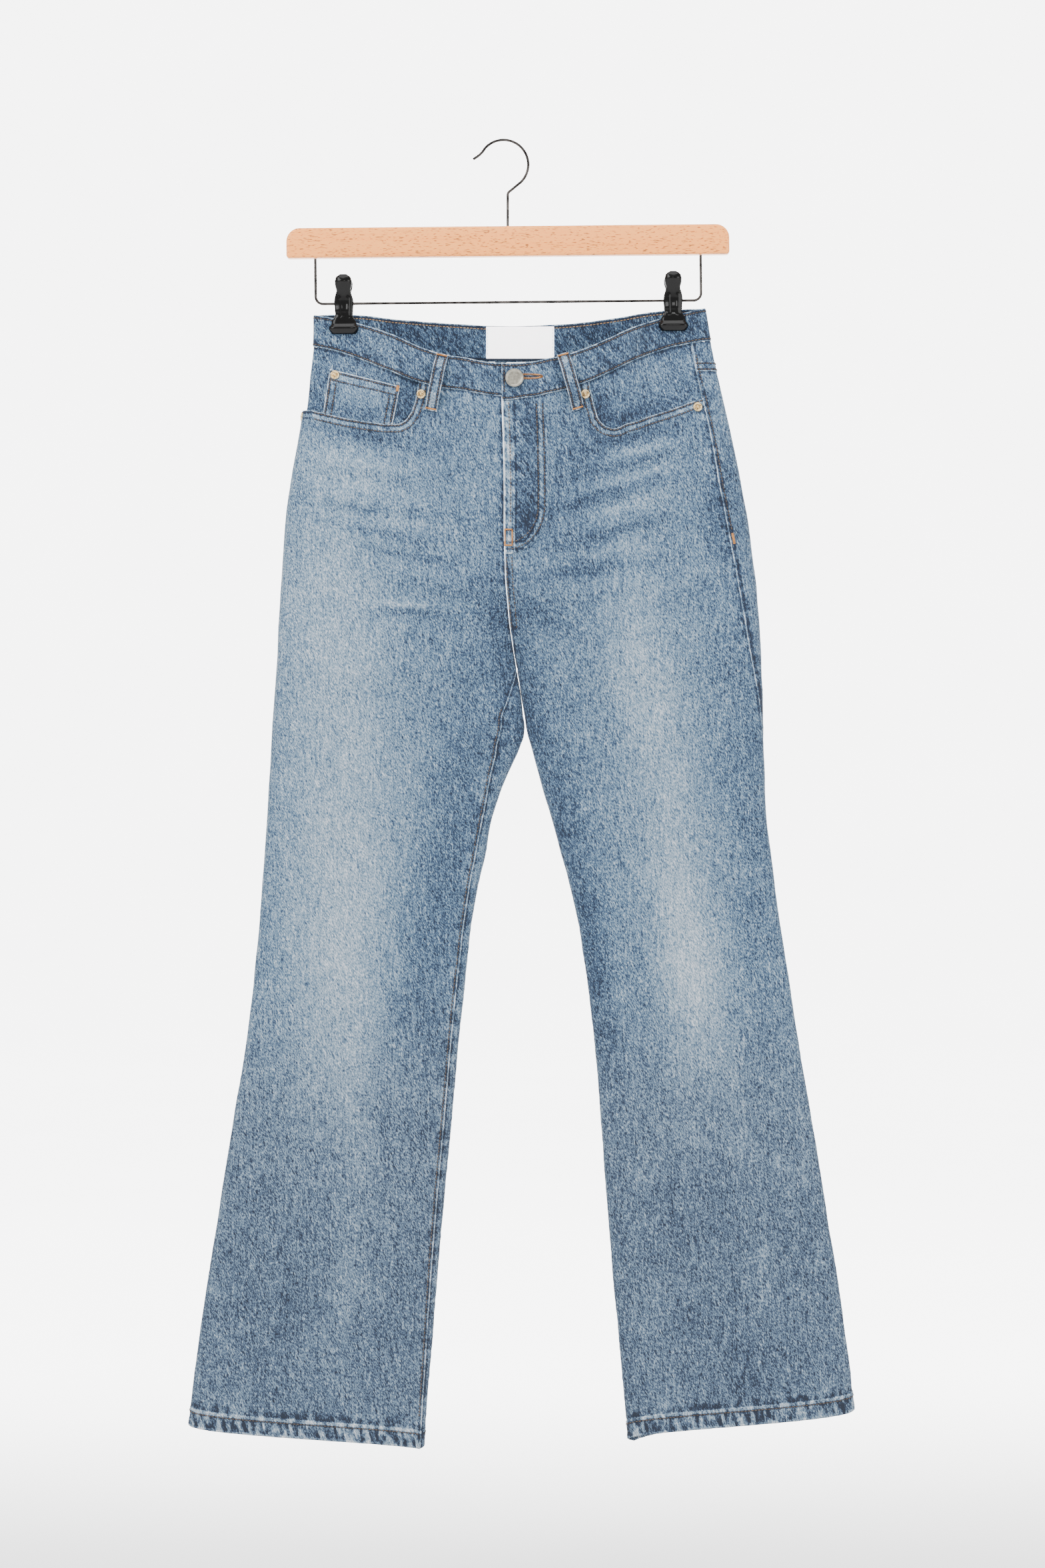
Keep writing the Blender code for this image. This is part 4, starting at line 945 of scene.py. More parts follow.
def front_grid(side):
    """Turns and drops over a front panel, whose first row is the pocket's edge and the waist seam."""
    pocket_turn, pocket_drop = pocket_line(side, POCKET_COLUMNS + 1)
    seam_turns = np.linspace(pocket_turn[-1], 1, FRONT_COLUMNS - POCKET_COLUMNS + 1)
    top_turn = np.concatenate([pocket_turn[:-1], seam_turns])
    top_drop = np.concatenate([pocket_drop[:-1], waist_seam(side, seam_turns)]) + GAP
    top_share = (top_turn - top_turn[0]) / (1 - top_turn[0])
    step = np.concatenate([(0, 0.003, 0.008, 0.016), np.linspace(0.03, 1, 30)])[:, None]
    upper_drop = top_drop + (LEVEL_DROP - top_drop) * step
    upper_turn = np.array([panel_turns(side, row, top_share, True) for row in upper_drop])
    upper_turn[0] = top_turn
    leg_turn, leg_drop = leg_grid(side, top_share, True)
    return np.vstack([upper_turn, leg_turn]), np.vstack([upper_drop, leg_drop])


def pocket_distance(side, turn, drop):
    """How far below a pocket opening's edge a place on the front is."""
    distance = np.full(drop.shape, FAR)
    near = drop < UPPER_DROP
    edge_turn, edge_drop_at = pocket_line(side, 260)
    edge = surface(side, edge_turn, edge_drop_at)
    points = surface(side, turn[near], drop[near])
    distance[near] = np.min(np.linalg.norm(points[:, None] - edge, axis=-1), axis=1)
    return distance


def hem_distance(side, turn, drop, front):
    """How far above the hem's edge a place is."""
    outseam = seam_turn(side, drop, "outseam")
    share = (turn - outseam) / (inner_seam(side, drop, front) - outseam)
    outer, inner = HEMS[side]
    return outer + (inner - outer) * share - drop


# The stitch rows below a pocket opening's edge, and how near it a place takes its rows from it
POCKET_ROWS = (1.9, 7.7)
POCKET_REACH = 30
# An edge that passes under its neighbour isn't worn, so its distance starts past the worn line, in the
# painted shade beside the seam
HIDDEN_EDGE = 1.2
# The row of stitches beside a side seam, and how far a thread stands above its cloth
SIDE_ROW = 2.6
ROW_RISE = 0.12


def panel_marks(side, turn, drop, front):
    """Distances over a panel, what the seams and puckers lift it by, and how worn it is."""
    x = surface(side, turn, drop)[..., 0]
    out = reach(side, turn, drop, seam_turn(side, drop, "outseam"))
    centre = reach(side, turn, drop, inner_seam(side, drop, front))
    hem = hem_distance(side, turn, drop, front)
    if front:
        pocket = pocket_distance(side, turn, drop)
        below_seam = drop - WAIST_EDGE["front_seam"](x) + HIDDEN_EDGE
        top = np.where(drop < UPPER_DROP, np.minimum(pocket, below_seam), FAR)
    else:
        pocket = np.full(drop.shape, FAR)
        top = np.where(drop < UPPER_DROP, drop - yoke_drop(side, turn) + HIDDEN_EDGE, FAR)
    lift = puckers(0.30, drop, 8.5, side + 2, out, 9) * ease((drop - 250) / 60)
    lift = lift + puckers(0.42, drop, 9.5, side + 5, centre, 10) * ease((drop - 440) / 60)
    lift = lift + puckers(0.28, x, 10, 7, top, 12)
    lift = lift + ridge(pocket, 8.6, 0.5) * (pocket < 20)
    if front:
        lift = lift + ridge(out, 3.2, 0.35)
        if side < 0:
            lift = lift + ridge(centre, 4.2, 0.6) * ease((drop - FORK - 20) / 40)
        else:
            lift = lift + ridge(centre, 7.4, 0.55) * ease((drop - 392) / 6) * (1 - ease((drop - 462) / 40))
    else:
        lift = lift + ridge(out, 7.0, 0.45)
        lift = lift + ridge(centre, 8.0, 0.5) * (1 - ease((drop - 480) / 30))
    slant = waves(x + 0.55 * hem, 9.5, side + 9)
    above = bell(hem, 12, HEM_HEIGHT) * (hem > HEM_HEIGHT)
    lift = lift + 0.34 * slant * ease((HEM_HEIGHT - hem) / 1.5) + 0.34 * waves(x, 9.5, side + 9) * above
    in_hem = ease((HEM_HEIGHT + 0.3 - hem) / 0.6)
    lift = lift + HEM_PROUD * in_hem
    thick = CLOTH + (HEM_CLOTH - CLOTH) * in_hem
    lift = lift + drape(x, drop) * ease((drop - 280) / 60)
    if front:
        lift = lift + fold_height(x, drop, SMALL_FOLDS)
    hidden = np.where(front, np.where(side < 0, HIDDEN_EDGE * (drop < FORK), 0), HIDDEN_EDGE)
    from_side = np.minimum(out + (0 if front else HIDDEN_EDGE), centre + hidden)
    wash = wash_at(turn, x, drop) + 0.07 * ease((pocket - 2.4) / 1.5) * (1 - ease((pocket - 5.6) / 1.5))
    wash = wash - 0.06 * bell(pocket, 4.5, 13)
    near = pocket < POCKET_REACH
    marks = {"wash": wash, "side_mm": from_side, "level_mm": top, "hem_mm": hem,
             "row_mm": np.where(near, pocket - POCKET_ROWS[0], FAR if front else out - SIDE_ROW),
             "row_two_mm": np.where(near, pocket - POCKET_ROWS[1], hem - HEM_STITCH)}
    return lift, thick, marks, pocket, hem


def panel_lift(side, turn, drop, front):
    return panel_marks(side, turn, drop, front)[0]


def underlap_lift(side, x, drop):
    """The right front sinks beside the fly, so that the left front's edge lies over it."""
    near = ease((x + 42) / 36) * (1 - ease((drop - 380) / 25))
    return np.where(side < 0, -TAB_LIP * near, 0.0)


def yoke_drop(side, turn):
    """The yoke seam: shallow at the side and deep at the centre back, in a wide V."""
    x_like = 1 - np.cos(np.clip(-turn, 0, 1) * math.pi / 2)
    side_x = -186 if side < 0 else 200
    at_side = WAIST_EDGE["back_seam"](side_x) + YOKE_AT_SIDE
    at_centre = WAIST_EDGE["back_seam"](-5) + YOKE_AT_CENTRE
    return at_side + (at_centre - at_side) * (0.35 * x_like + 0.65 * np.clip(-turn, 0, 1))


def side_line(side, share_drops, inset, front, seam):
    """A line of places down a panel, this far in from one of its long seams."""
    drop = np.array(share_drops, float)
    at = seam_turn(side, drop, "outseam") if seam == "outseam" else inner_seam(side, drop, front)
    toward = (1 if front else -1) * (1 if seam == "outseam" else -1)
    turn = at + toward * 0.02
    for _ in range(6):
        turn = at + (turn - at) * inset / np.maximum(reach(side, turn, drop, at), 0.01)
    return turn, drop


def hem_line(side, above, front):
    """A line of places round a leg, this far above the hem's edge."""
    outer, inner = HEMS[side]
    share = np.linspace(0.004, 0.996, 220)
    drop = outer + (inner - outer) * share - above
    return panel_turns(side, drop, share, front), drop


def pocket_row(side, below):
    """A line of places this far below a pocket opening's edge."""
    edge = resampled(POCKET_EDGES[side], 160)
    run = np.gradient(edge, axis=0)
    run = unit(run)
    points = edge + below * np.stack([side * run[:, 1], -side * run[:, 0]], axis=1)
    points = points[np.abs(points[:, 0]) < np.abs(edge[0, 0]) - 2]
    points = points[points[:, 1] > WAIST_EDGE["front_seam"](points[:, 0]) + 1]
    return turn_at(side, points[:, 0], points[:, 1]), points[:, 1]


def panel_line(side, front, line):
    """Stitches along a line of places on a panel."""
    turn, drop = line
    lift = panel_lift(side, turn, drop, front)
    if front:
        lift = lift + underlap_lift(side, surface(side, turn, drop)[..., 0], drop)
    return stitch_row(side, turn, drop, lift + ROW_RISE)


for side, word in ((-1, "right"), (1, "left")):
    turn, drop = front_grid(side)
    lift, thick, marks, pocket, hem = panel_marks(side, turn, drop, True)
    lift = lift + underlap_lift(side, surface(side, turn, drop)[..., 0], drop)
    made = cloth(f"denim_front_{word}", side, turn, drop, lift, thick, denim, marks,
                 (pocket, hem))
    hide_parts(f"front_{word}")
    lines = [pocket_row(side, below) for below in POCKET_ROWS] + [hem_line(side, HEM_STITCH, True)]
    if side < 0:
        lines.append(side_line(side, np.arange(545, 1228, 4), 3.0, True, "inseam"))
    else:
        lines += [side_line(side, np.arange(400, 470, 3), inset, True, "inseam") for inset in (1.4, 6.6)]
    rows = [panel_line(side, True, line) for line in lines]
    sew(f"stitches_front_{word}", rows, brown_thread, made)


# Back panels: the two back legs, a little wider than the fronts, joined to them at the side
# seams and inseams. The side seams are topstitched from the waist to a bar tack at the hip.

def yoke_seam(side, share):
    """Turns and drops along the seam between a yoke and its back panel."""
    drop = np.full(len(share), 240.0)
    for _ in range(8):
        turn = panel_turns(side, drop, share, False)
        drop = yoke_drop(side, turn)
    return turn, drop


def back_grid(side):
    share = np.linspace(0, 1, BACK_COLUMNS + 1)
    top_turn, top_drop = yoke_seam(side, share)
    step = np.linspace(0, 1, 26)[:, None]
    upper_drop = top_drop + GAP + (LEVEL_DROP - top_drop - GAP) * step
    upper_turn = np.array([panel_turns(side, row, share, False) for row in upper_drop])
    upper_turn[0] = top_turn
    leg_turn, leg_drop = leg_grid(side, share, False, 4.0)
    return np.vstack([upper_turn, leg_turn]), np.vstack([upper_drop, leg_drop])


# The bar tack at the hip, from drop to drop
HIP_TACK = (377, 388)
for side, word in ((-1, "right"), (1, "left")):
    turn, drop = back_grid(side)
    lift, thick, marks, pocket, hem = panel_marks(side, turn, drop, False)
    made = cloth(f"denim_back_{word}", side, turn, drop, lift, thick, denim, marks, (hem,))
    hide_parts(f"back_{word}")
    lines = [hem_line(side, HEM_STITCH, False),
             side_line(side, np.arange(245, HIP_TACK[0], 3), SIDE_ROW, False, "outseam")]
    if side > 0:
        lines += [side_line(side, np.arange(276, 500, 3), inset, False, "inseam") for inset in (1.6, 7.4)]
    rows = [panel_line(side, False, line) for line in lines]
    sew(f"stitches_back_{word}", rows, brown_thread, made)
    turn, drop = side_line(side, np.arange(HIP_TACK[0], HIP_TACK[1], 0.8), SIDE_ROW, False, "outseam")
    level = panel_lift(side, turn, drop, False) + 0.3
    start, end, facing = stitch_row(side, turn, drop, level, 0.5, 0.8)
    across = unit(np.cross(end - start, facing))
    middle = (start + end) / 2
    sew(f"hip_tack_{word}", [(middle - across * 1.3, middle + across * 1.3, facing)], orange_thread, made)


# Yokes: the shaped strips of the same denim between the waistband and the back panels, felled
# to the panels with two rows of stitches.

def edged(count, near):
    """Shares from 0 to 1 with a few more close to both ends."""
    close = np.array((0.0, 0.3, 0.7)) * near
    return np.concatenate([close, np.linspace(near, 1 - near, count), 1 - close[::-1]])


YOKE_ROWS = (1.8, 7.6)
for side, word in ((-1, "right"), (1, "left")):
    share = np.linspace(0, 1, BACK_COLUMNS + 1)
    top_turn = panel_turns(side, 200.0, share, False)
    top_drop = waist_seam(side, top_turn) + GAP
    foot_turn, foot_drop = yoke_seam(side, share)
    step = edged(16, 0.02)[:, None]
    turn = top_turn + (foot_turn - top_turn) * step
    drop = top_drop + (foot_drop - top_drop) * step
    x = surface(side, turn, drop)[..., 0]
    top, foot = drop - top_drop, foot_drop - drop
    lift = ridge(foot, 8, 0.4) + puckers(0.22, x, 10, 4, foot, 10)
    out = reach(side, turn, drop, seam_turn(side, drop, "outseam"))
    marks = {"wash": wash_at(turn, x, drop) - 0.02, "side_mm": out,
             "level_mm": np.minimum(top + HIDDEN_EDGE, foot),
             "row_mm": foot - YOKE_ROWS[0], "row_two_mm": foot - YOKE_ROWS[1]}
    made = cloth(f"denim_yoke_{word}", side, turn, drop, lift, CLOTH, denim, marks)
    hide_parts(f"yoke_{word}")
    rows = [stitch_row(side, foot_turn, foot_drop - inset, 0.4 + ROW_RISE) for inset in YOKE_ROWS]
    line_turn, line_drop = side_line(side, np.arange(205, 240, 3.0), SIDE_ROW, False, "outseam")
    rows.append(stitch_row(side, line_turn, line_drop, 0.15))
    sew(f"stitches_yoke_{word}", rows, brown_thread, made)


# Pocket facings: the darker denim behind the front pocket openings, which the panels above
# shaded from wear. They are sewn to the waistband and the side seams.

FACING_SINK = {-1: CLOTH + 4 * GAP + PATCH_CLOTH, 1: CLOTH + 2 * GAP}


def edge_drop(side, x):
    """The drop of the pocket opening's edge at x."""
    edge = resampled(POCKET_EDGES[side], 60)
    order = np.argsort(edge[:, 0])
    return np.interp(x, edge[order, 0], edge[order, 1])


def edge_distance(x, drop, side):
    """Distance from the pocket opening's edge, negative under the front panel."""
    edge = resampled(POCKET_EDGES[side], 60)
    away = np.min(np.hypot(x[..., None] - edge[:, 0], drop[..., None] - edge[:, 1]), axis=-1)
    past_end = side * x < side * edge[-1, 0]
    return np.where((drop > edge_drop(side, x)) | past_end, -away, away)


def facing_sink(side, x, drop):
    deep = FACING_SINK[side]
    return -(deep + (0.3 - deep) * ease((edge_distance(x, drop, side) - 4) / 34))


FACING_WASH = {
    -1: ((-150, 222, 40, 14, -20, 0.04), (-120, 262, 70, 7, -6, -0.16), (-178, 240, 26, 8, 80, -0.05),
         (-92, 250, 22, 9, 80, -0.10)),
    1: ((150, 220, 60, 12, 24, 0.05), (130, 262, 60, 6, 16, -0.17), (92, 256, 24, 8, 84, -0.16),
        (110, 236, 30, 6, 34, 0.05), (172, 232, 30, 8, 20, -0.03)),
}
for side, word in ((-1, "right"), (1, "left")):
    pocket_turn = pocket_line(side, 2)[0][-1]
    outseam = float(seam_turn(side, 200.0, "outseam"))
    top_turn = np.linspace(outseam, pocket_turn + (1 - pocket_turn) / 5, 62)
    top = waist_seam(side, top_turn) + GAP
    x = surface(side, top_turn, 245.0)[:, 0]
    foot = np.maximum(edge_drop(side, x) + 16, top + 45)
    drop = top + (foot - top) * np.linspace(0, 1, 34)[:, None]
    share = (top_turn - top_turn[0]) / (top_turn[-1] - top_turn[0])
    start = seam_turn(side, drop, "outseam")
    turn = start + (top_turn[-1] - start) * share
    turn[0, 1:] = top_turn[1:]
    x = surface(side, turn, drop)[..., 0]
    marks = {"wash": fold_height(x, drop, FACING_WASH[side]), "side_mm": reach(side, turn, drop, start),
             "level_mm": drop - top + HIDDEN_EDGE}
    made = cloth(f"facing_{word}", side, turn, drop, facing_sink(side, x, drop), CLOTH, dark_denim,
                 marks)
    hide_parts(f"pocket_facing_{word}")


# Coin pocket: a small patch of the same denim on the right facing, hemmed along its top with
# two rows of stitches and sewn down its sides. Its foot runs down behind the front panel.

# Its corners as x and drop, its flat size, and the stitch rows along its top and down its sides
COIN_CORNERS = {"top": ((-168.5, 219.5), (-100.8, 237.4)), "foot": ((-178.0, 277), (-111.0, 287))}
COIN_WIDTH = 70
COIN_HEIGHT = 56
COIN_TOP_ROWS = (2.5, 9.8)
COIN_SIDE_ROWS = (2.5, 8.4)


def coin_place(along, down):
    """x and drop at shares across and down the coin pocket."""
    corners = zip(*COIN_CORNERS["top"], *COIN_CORNERS["foot"])
    return [(left + (right - left) * along) * (1 - down) + (low_left + (low_right - low_left) * along) * down
            for left, right, low_left, low_right in corners]


def coin_lift(x, drop):
    return facing_sink(-1, x, drop) + 2 * GAP + PATCH_CLOTH


along, down = edged(30, 0.02), edged(26, 0.02)[:, None]
x, drop = coin_place(along, down)
from_side = np.minimum(along, 1 - along) * COIN_WIDTH + 0 * down
from_top = down * COIN_HEIGHT + 0 * along
lift = coin_lift(x, drop) + puckers(0.2, drop, 8, 3, from_side, 9)
lift = lift + ridge(from_top, 10.5, 0.4) + 0.2 * waves(x, 7, 6) * bell(from_top, 5, 6)
wash = fold_height(x, drop, ((-145, 262, 60, 8, -8, -0.13), (-138, 232, 40, 8, -14, 0.05))) + 0.03
in_hem = from_top < 14
marks = {"wash": wash, "side_mm": from_side, "level_mm": from_top,
         "row_mm": np.where(in_hem, from_top - COIN_TOP_ROWS[0], from_side - COIN_SIDE_ROWS[1]),
         "row_two_mm": np.where(in_hem, from_top - COIN_TOP_ROWS[1], from_side - COIN_SIDE_ROWS[0])}
coin = cloth("coin_pocket_patch", -1.0, turn_at(-1, x, drop), drop, lift, PATCH_CLOTH, denim, marks,
             (from_side, from_top))
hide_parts("coin_pocket")
rows = []
for line_along, line_down in ((np.linspace(0.02, 0.98, 60), 0.045), (np.linspace(0.02, 0.98, 60), 0.175),
                              (0.035, np.linspace(0.02, 0.9, 60)), (0.965, np.linspace(0.02, 0.9, 60)),
                              (0.12, np.linspace(0.2, 0.9, 60)), (0.88, np.linspace(0.2, 0.9, 60))):
    x, drop = coin_place(line_along, line_down)
    rows.append(stitch_row(-1.0, turn_at(-1, x, drop), drop, coin_lift(x, drop) + 0.35, 2.2, 2.9))
sew("stitches_coin_pocket", rows, brown_thread, coin)
tack = coin_place(np.array((0.97, 0.97)), np.array((0.0, 0.11)))
tack_lift = float(coin_lift(tack[0], tack[1])[0]) + 0.7
tack_row = zigzag(tack[0][0], tack[1][0], tack[0][1], tack[1][1], 3.0, tack_lift)
sew("coin_pocket_tack", [tack_row], orange_thread, coin)


# Fly: the left front's raised facing over the zip, of the same denim, rounded into a J. Two
# rows of stitches follow its edge, and bar tacks hold its foot.

FLY_WIDTH = 43
FLY_TOP = 251.5
FLY_FOOT = 398
FLY_ROUND = 46
FLY_ROWS = (4.6, 10.6)
# How far the facing's pressed surface stands out of the panel
FLY_RISE = 0.15


def fly_width(drop):
    rounding = np.clip((drop - (FLY_FOOT - FLY_ROUND)) / FLY_ROUND, 0, 1)
    return FLY_WIDTH * np.sqrt(1 - rounding ** 2)


turning = np.linspace(0, 1, 30)[1:] * math.pi / 2 * 0.93
drop = np.concatenate([np.linspace(FLY_TOP, FLY_FOOT - FLY_ROUND, 44),
                       FLY_FOOT - FLY_ROUND + FLY_ROUND * np.sin(turning)])
width = fly_width(drop)
share = np.concatenate([(0, 0.01, 0.03), np.linspace(0.06, 0.94, 26), (0.97, 0.99, 1)])
x = (inner_edge(1, drop) + GAP)[:, None] + width[:, None] * share
drop = np.broadcast_to(drop[:, None], x.shape)
turn = turn_at(1, x, drop)
from_edge = width[:, None] * share
from_curve = np.minimum(width[:, None] * (1 - share), (FLY_FOOT - drop) * 0.9)
lift = panel_lift(1, turn, drop, True) + FLY_RISE + PLACKET_CLOTH * ease(from_curve / 3)
lift = lift + 0.5 * bell(from_curve, 3.2, 2) + 0.35 * ridge(from_edge, 7.2, 1)
lift = lift + 0.22 * waves(drop, 9, 8) * bell(from_curve, 5, 8)
wash = fold_height(x, drop, FRONT_WASH) - 0.05 * ease((from_edge - 8) / 3) * ease((from_curve - 7) / 4)
wash = wash + 0.22 * (1 - ease((from_edge - 8.4) / 1.2)) + 0.13 * bell(from_curve, 1.9, 7.6)
wash = wash + 0.06 * bell(from_curve, 2, 1.5)
marks = {"wash": wash, "side_mm": np.minimum(from_edge, np.abs(from_edge - 9.4) + 0.5), "level_mm": FAR,
         "row_mm": from_curve - FLY_ROWS[0], "row_two_mm": from_curve - FLY_ROWS[1]}
fly = cloth("fly_facing", 1.0, turn, drop, lift, PLACKET_CLOTH, band_denim, marks, (from_edge,))
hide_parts("fly_placket")


def fly_row(inset):
    """Stitches that follow the J, this far inside the fly's edge."""
    bend = FLY_FOOT - FLY_ROUND
    angle = np.linspace(0, 1, 40) * math.pi / 2 * 0.985
    rounding = bend + (FLY_ROUND - inset) * np.sin(angle)
    drop = np.concatenate([np.linspace(FLY_TOP + 2, bend, 50)[:-1], rounding])
    width = np.concatenate([np.full(49, FLY_WIDTH - inset), (FLY_WIDTH - inset) * np.cos(angle)])
    x = inner_edge(1, drop) + GAP + width
    turn = turn_at(1, x, drop)
    lift = panel_lift(1, turn, drop, True) + FLY_RISE + PLACKET_CLOTH + 0.35
    return stitch_row(1.0, turn, drop, lift)


drop = np.arange(FLY_TOP + 1, 372, 3.0)
x = inner_edge(1, drop) + GAP + 6.0
turn = turn_at(1, x, drop)
strip = stitch_row(1.0, turn, drop, panel_lift(1, turn, drop, True) + 1.35)
sew("stitches_fly", [fly_row(inset) for inset in FLY_ROWS] + [strip], brown_thread, fly)
rows = [zigzag(-1.2, 374.5, 6.4, 374.5, 1.6, 2.4), zigzag(6.2, 375.5, 6.2, 389, 1.5, 2.2),
        zigzag(-0.8, 375.5, -0.8, 389, 1.5, 2.2), zigzag(-1.2, 389.5, 6.4, 389.5, 1.6, 2.2)]
sew("fly_tacks", rows, orange_thread, fly)


# Waistband: one doubled strip round the waist, sewn along both edges. Its left end is the
# tab with the buttonhole, and its right end runs on under it.

# The stitch rows from its top edge and from its foot
BAND_TOP_ROW = 2.7
BAND_FOOT_ROW = 2.2


def band_line(columns):
    """Sides and turns round the waist, from the tab's end to the end under the tab."""
    halves = {}
    for side in (-1, 1):
        outseam = float(seam_turn(side, 200.0, "outseam"))
        to_back = np.linspace(outseam, -1, columns)[1:]
        halves[side] = np.concatenate([np.linspace(1, outseam, columns), to_back])
    under = turn_at(1, SECTION["centre"](230) + np.linspace(3, UNDERLAP, 10), 230.0)
    turn = np.concatenate([halves[1], halves[-1][::-1][1:], under])
    side = np.concatenate([np.ones(len(halves[1])), -np.ones(len(halves[-1]) - 1), np.ones(len(under))])
    past_tab = np.arange(len(turn)) >= len(halves[1])
    return side, turn, past_tab


def band_edges(side, turn):
    x = surface(side, turn, 205.0)[:, 0]
    top = np.where(turn >= 0, WAIST_EDGE["front_top"](x), WAIST_EDGE["back_top"](x))
    foot = np.where(side > 0, waist_seam(1, turn), waist_seam(-1, turn))
    return x, top, foot


def band_lift(turn, x, past_tab):
    under_tab = ease((x + 42) / 36) * (turn >= 0) * past_tab
    return BAND_PROUD - (BAND_CLOTH + GAP) * under_tab


def band_relief(x, drop, turn, from_top, from_foot):
    """Rounded edges, a groove along each row of stitches, and creases by the clips."""
    creases = fold_height(x, drop, SMALL_FOLDS) * np.where(turn >= 0, 1, 0.5)
    grooves = 0.22 * bell(from_top, 1.1, BAND_TOP_ROW) + 0.22 * bell(from_foot, 1.1, BAND_FOOT_ROW)
    gathered = 0.2 * waves(x, 8, 5) * (bell(from_top, 5) + bell(from_foot, 6))
    return creases * 0.7 - grooves + gathered


side, turn, past_tab = band_line(92)
x, top, foot = band_edges(side, turn)
step = edged(12, 0.06)[:, None]
drop = top + (foot - top) * step
band_x = np.broadcast_to(x, drop.shape)
from_top, from_foot = drop - top, foot - drop
from_tab = np.where(np.arange(len(x)) < 80, x - x[0], FAR) + 0 * drop
lift = band_lift(turn, x, past_tab) + band_relief(band_x, drop, turn, from_top, from_foot)
in_front = turn >= 0
BAND_WASH = ((-125, 196, 40, 6, -40, 0.09), (112, 205, 30, 5, 42, 0.06), (-52, 226, 20, 9, 80, 0.06),
             (30, 224, 30, 8, 0, 0.03))
wash = -0.065 - 0.075 * ease((band_x - 60) / 60) * in_front + 0.045 * waves(band_x, 46, 2) * in_front
wash = wash + fold_height(band_x, drop, BAND_WASH) * in_front
marks = {"wash": wash, "side_mm": from_tab, "level_mm": np.minimum(from_top, from_foot),
         "row_mm": from_top - BAND_TOP_ROW, "row_two_mm": from_foot - BAND_FOOT_ROW}
band = cloth("waist_band", side, turn, drop, lift, BAND_CLOTH, band_denim, marks,
             (from_top, from_foot, from_tab))
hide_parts("waistband")
rows = []
for from_edge, at_top in ((BAND_TOP_ROW, True), (BAND_FOOT_ROW, False)):
    line_drop = top + from_edge if at_top else foot - from_edge
    for first, last in ((0, 183), (184, len(x) - 10)):
        line = slice(first, last)
        near_top = np.full(last - first, from_edge if at_top else FAR)
        near_foot = np.full(last - first, FAR if at_top else from_edge)
        level = band_lift(turn[line], x[line], past_tab[line])
        level = level + band_relief(x[line], line_drop[line], turn[line], near_top, near_foot) + 0.1
        rows.append(stitch_row(side[line], turn[line], line_drop[line], level))
tab_drop = np.linspace(217, 246, 30)
tab_turn = turn_at(1, SECTION["centre"](tab_drop) + 2.8, tab_drop)
rows.append(stitch_row(1.0, tab_turn, tab_drop, BAND_PROUD + 0.1))
sew("stitches_waist_band", rows, brown_thread, band)
inner_rows = []
for first, last in ((95, 183), (186, 272)):
    line = slice(first, last)
    below_rim = top[line] + 3.4
    level = np.full(last - first, BAND_PROUD - BAND_CLOTH - 0.12)
    start, end, facing = stitch_row(side[line], turn[line], below_rim, level)
    inner_rows.append((start, end, -facing))
sew("stitches_inside_band", inner_rows, tan_thread, band)
# The slit is a strip of dark thread across the tab: painted shade in the opening
slit = [zigzag(10, 228.6, 34, 227.4, 0.7, BAND_PROUD + 0.2, step=0.7)]
sew("buttonhole_slit", slit, thread_material("shadow thread", "#2a3442", "#1d2430"), band)
# The buttonhole's middle, as x and drop, and the half sizes of its stitches' inner and outer ends
BUTTONHOLE = (22, 228)
BUTTONHOLE_RINGS = ((11.6, 1.0), (13.6, 2.9))
angle = np.linspace(0, 2 * math.pi, 60)[:-1]
ends = []
for half_width, half_height in BUTTONHOLE_RINGS:
    ring_drop = BUTTONHOLE[1] + half_height * np.sin(angle)
    ring_turn = turn_at(1, BUTTONHOLE[0] + half_width * np.cos(angle), ring_drop)
    ends.append(lifted(1.0, ring_turn, ring_drop, BAND_PROUD + 0.15))
sew("buttonhole", [(ends[0], ends[1], outward(1.0, ring_turn, ring_drop))], orange_thread, band)


# Label: a plain white woven tape with folded ends, sewn inside the back of the waistband and
# left bare.

# Its ends in x, its edges in drop, and the strength of the glow painted into it, painted light
# which makes it the whitest thing here
LABEL_ENDS = (-19, 46.5)
LABEL_EDGES = (176.2, 206.8)
LABEL_PAINTED_GLOW = 3.4


def woven_white():
    """Satin-woven polyester tape: real threads are 0.15 mm apart. Drawn at 0.7 mm."""
    material, tree, shader, own = new_material("white woven label tape", {
        "Roughness": 0.55, "Emission Strength": LABEL_PAINTED_GLOW})
    weave = noise(tree, own, (3.0, 3.0, 0.7), 2.0, 0.5)
    shade = noise(tree, own, (16, 16, 10), 2.0, 0.5)
    light = total(tree, 0.5, ((weave, 0.5, 0.25), (shade, 0.5, 0.3)))
    white = paint(tree, shader, light, ((0.3, "#f6f1f4"), (0.7, "#fffdfe")))
    # The tape glows in its own colour: painted light
    tree.links.new(white, shader.inputs["Emission Color"])
    bump(tree, shader, weave, 0.25, 0.6)
    return material


label_tape = woven_white()
x = np.linspace(*LABEL_ENDS, 44)
label_top, label_foot = LABEL_EDGES
drop = np.broadcast_to((label_top + (label_foot - label_top) * edged(14, 0.03))[:, None], (20, 44))
from_end = np.minimum(x - LABEL_ENDS[0], LABEL_ENDS[1] - x) + 0 * drop
from_edge = np.minimum(drop - label_top, label_foot - drop)
side, turn = place(np.broadcast_to(x, drop.shape), drop, back=True)
lift = BAND_PROUD - BAND_CLOTH - GAP - 0.25 * ridge(from_end, 5, 1) - 0.12 * waves(x, 22, 2)
made = cloth("woven_label", side, turn, drop, lift, LABEL_CLOTH, label_tape, {},
             (from_end, from_edge))
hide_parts("label")
rows = []
for line_x in (-17.6, 45.1):
    line_drop = np.linspace(177.5, 205.5, 30)
    line_side, line_turn = place(np.full(30, line_x), line_drop, back=True)
    level = BAND_PROUD - BAND_CLOTH - GAP - LABEL_CLOTH - 0.45
    start, end, facing = stitch_row(line_side, line_turn, line_drop, level)
    rows.append((start, end, -facing))
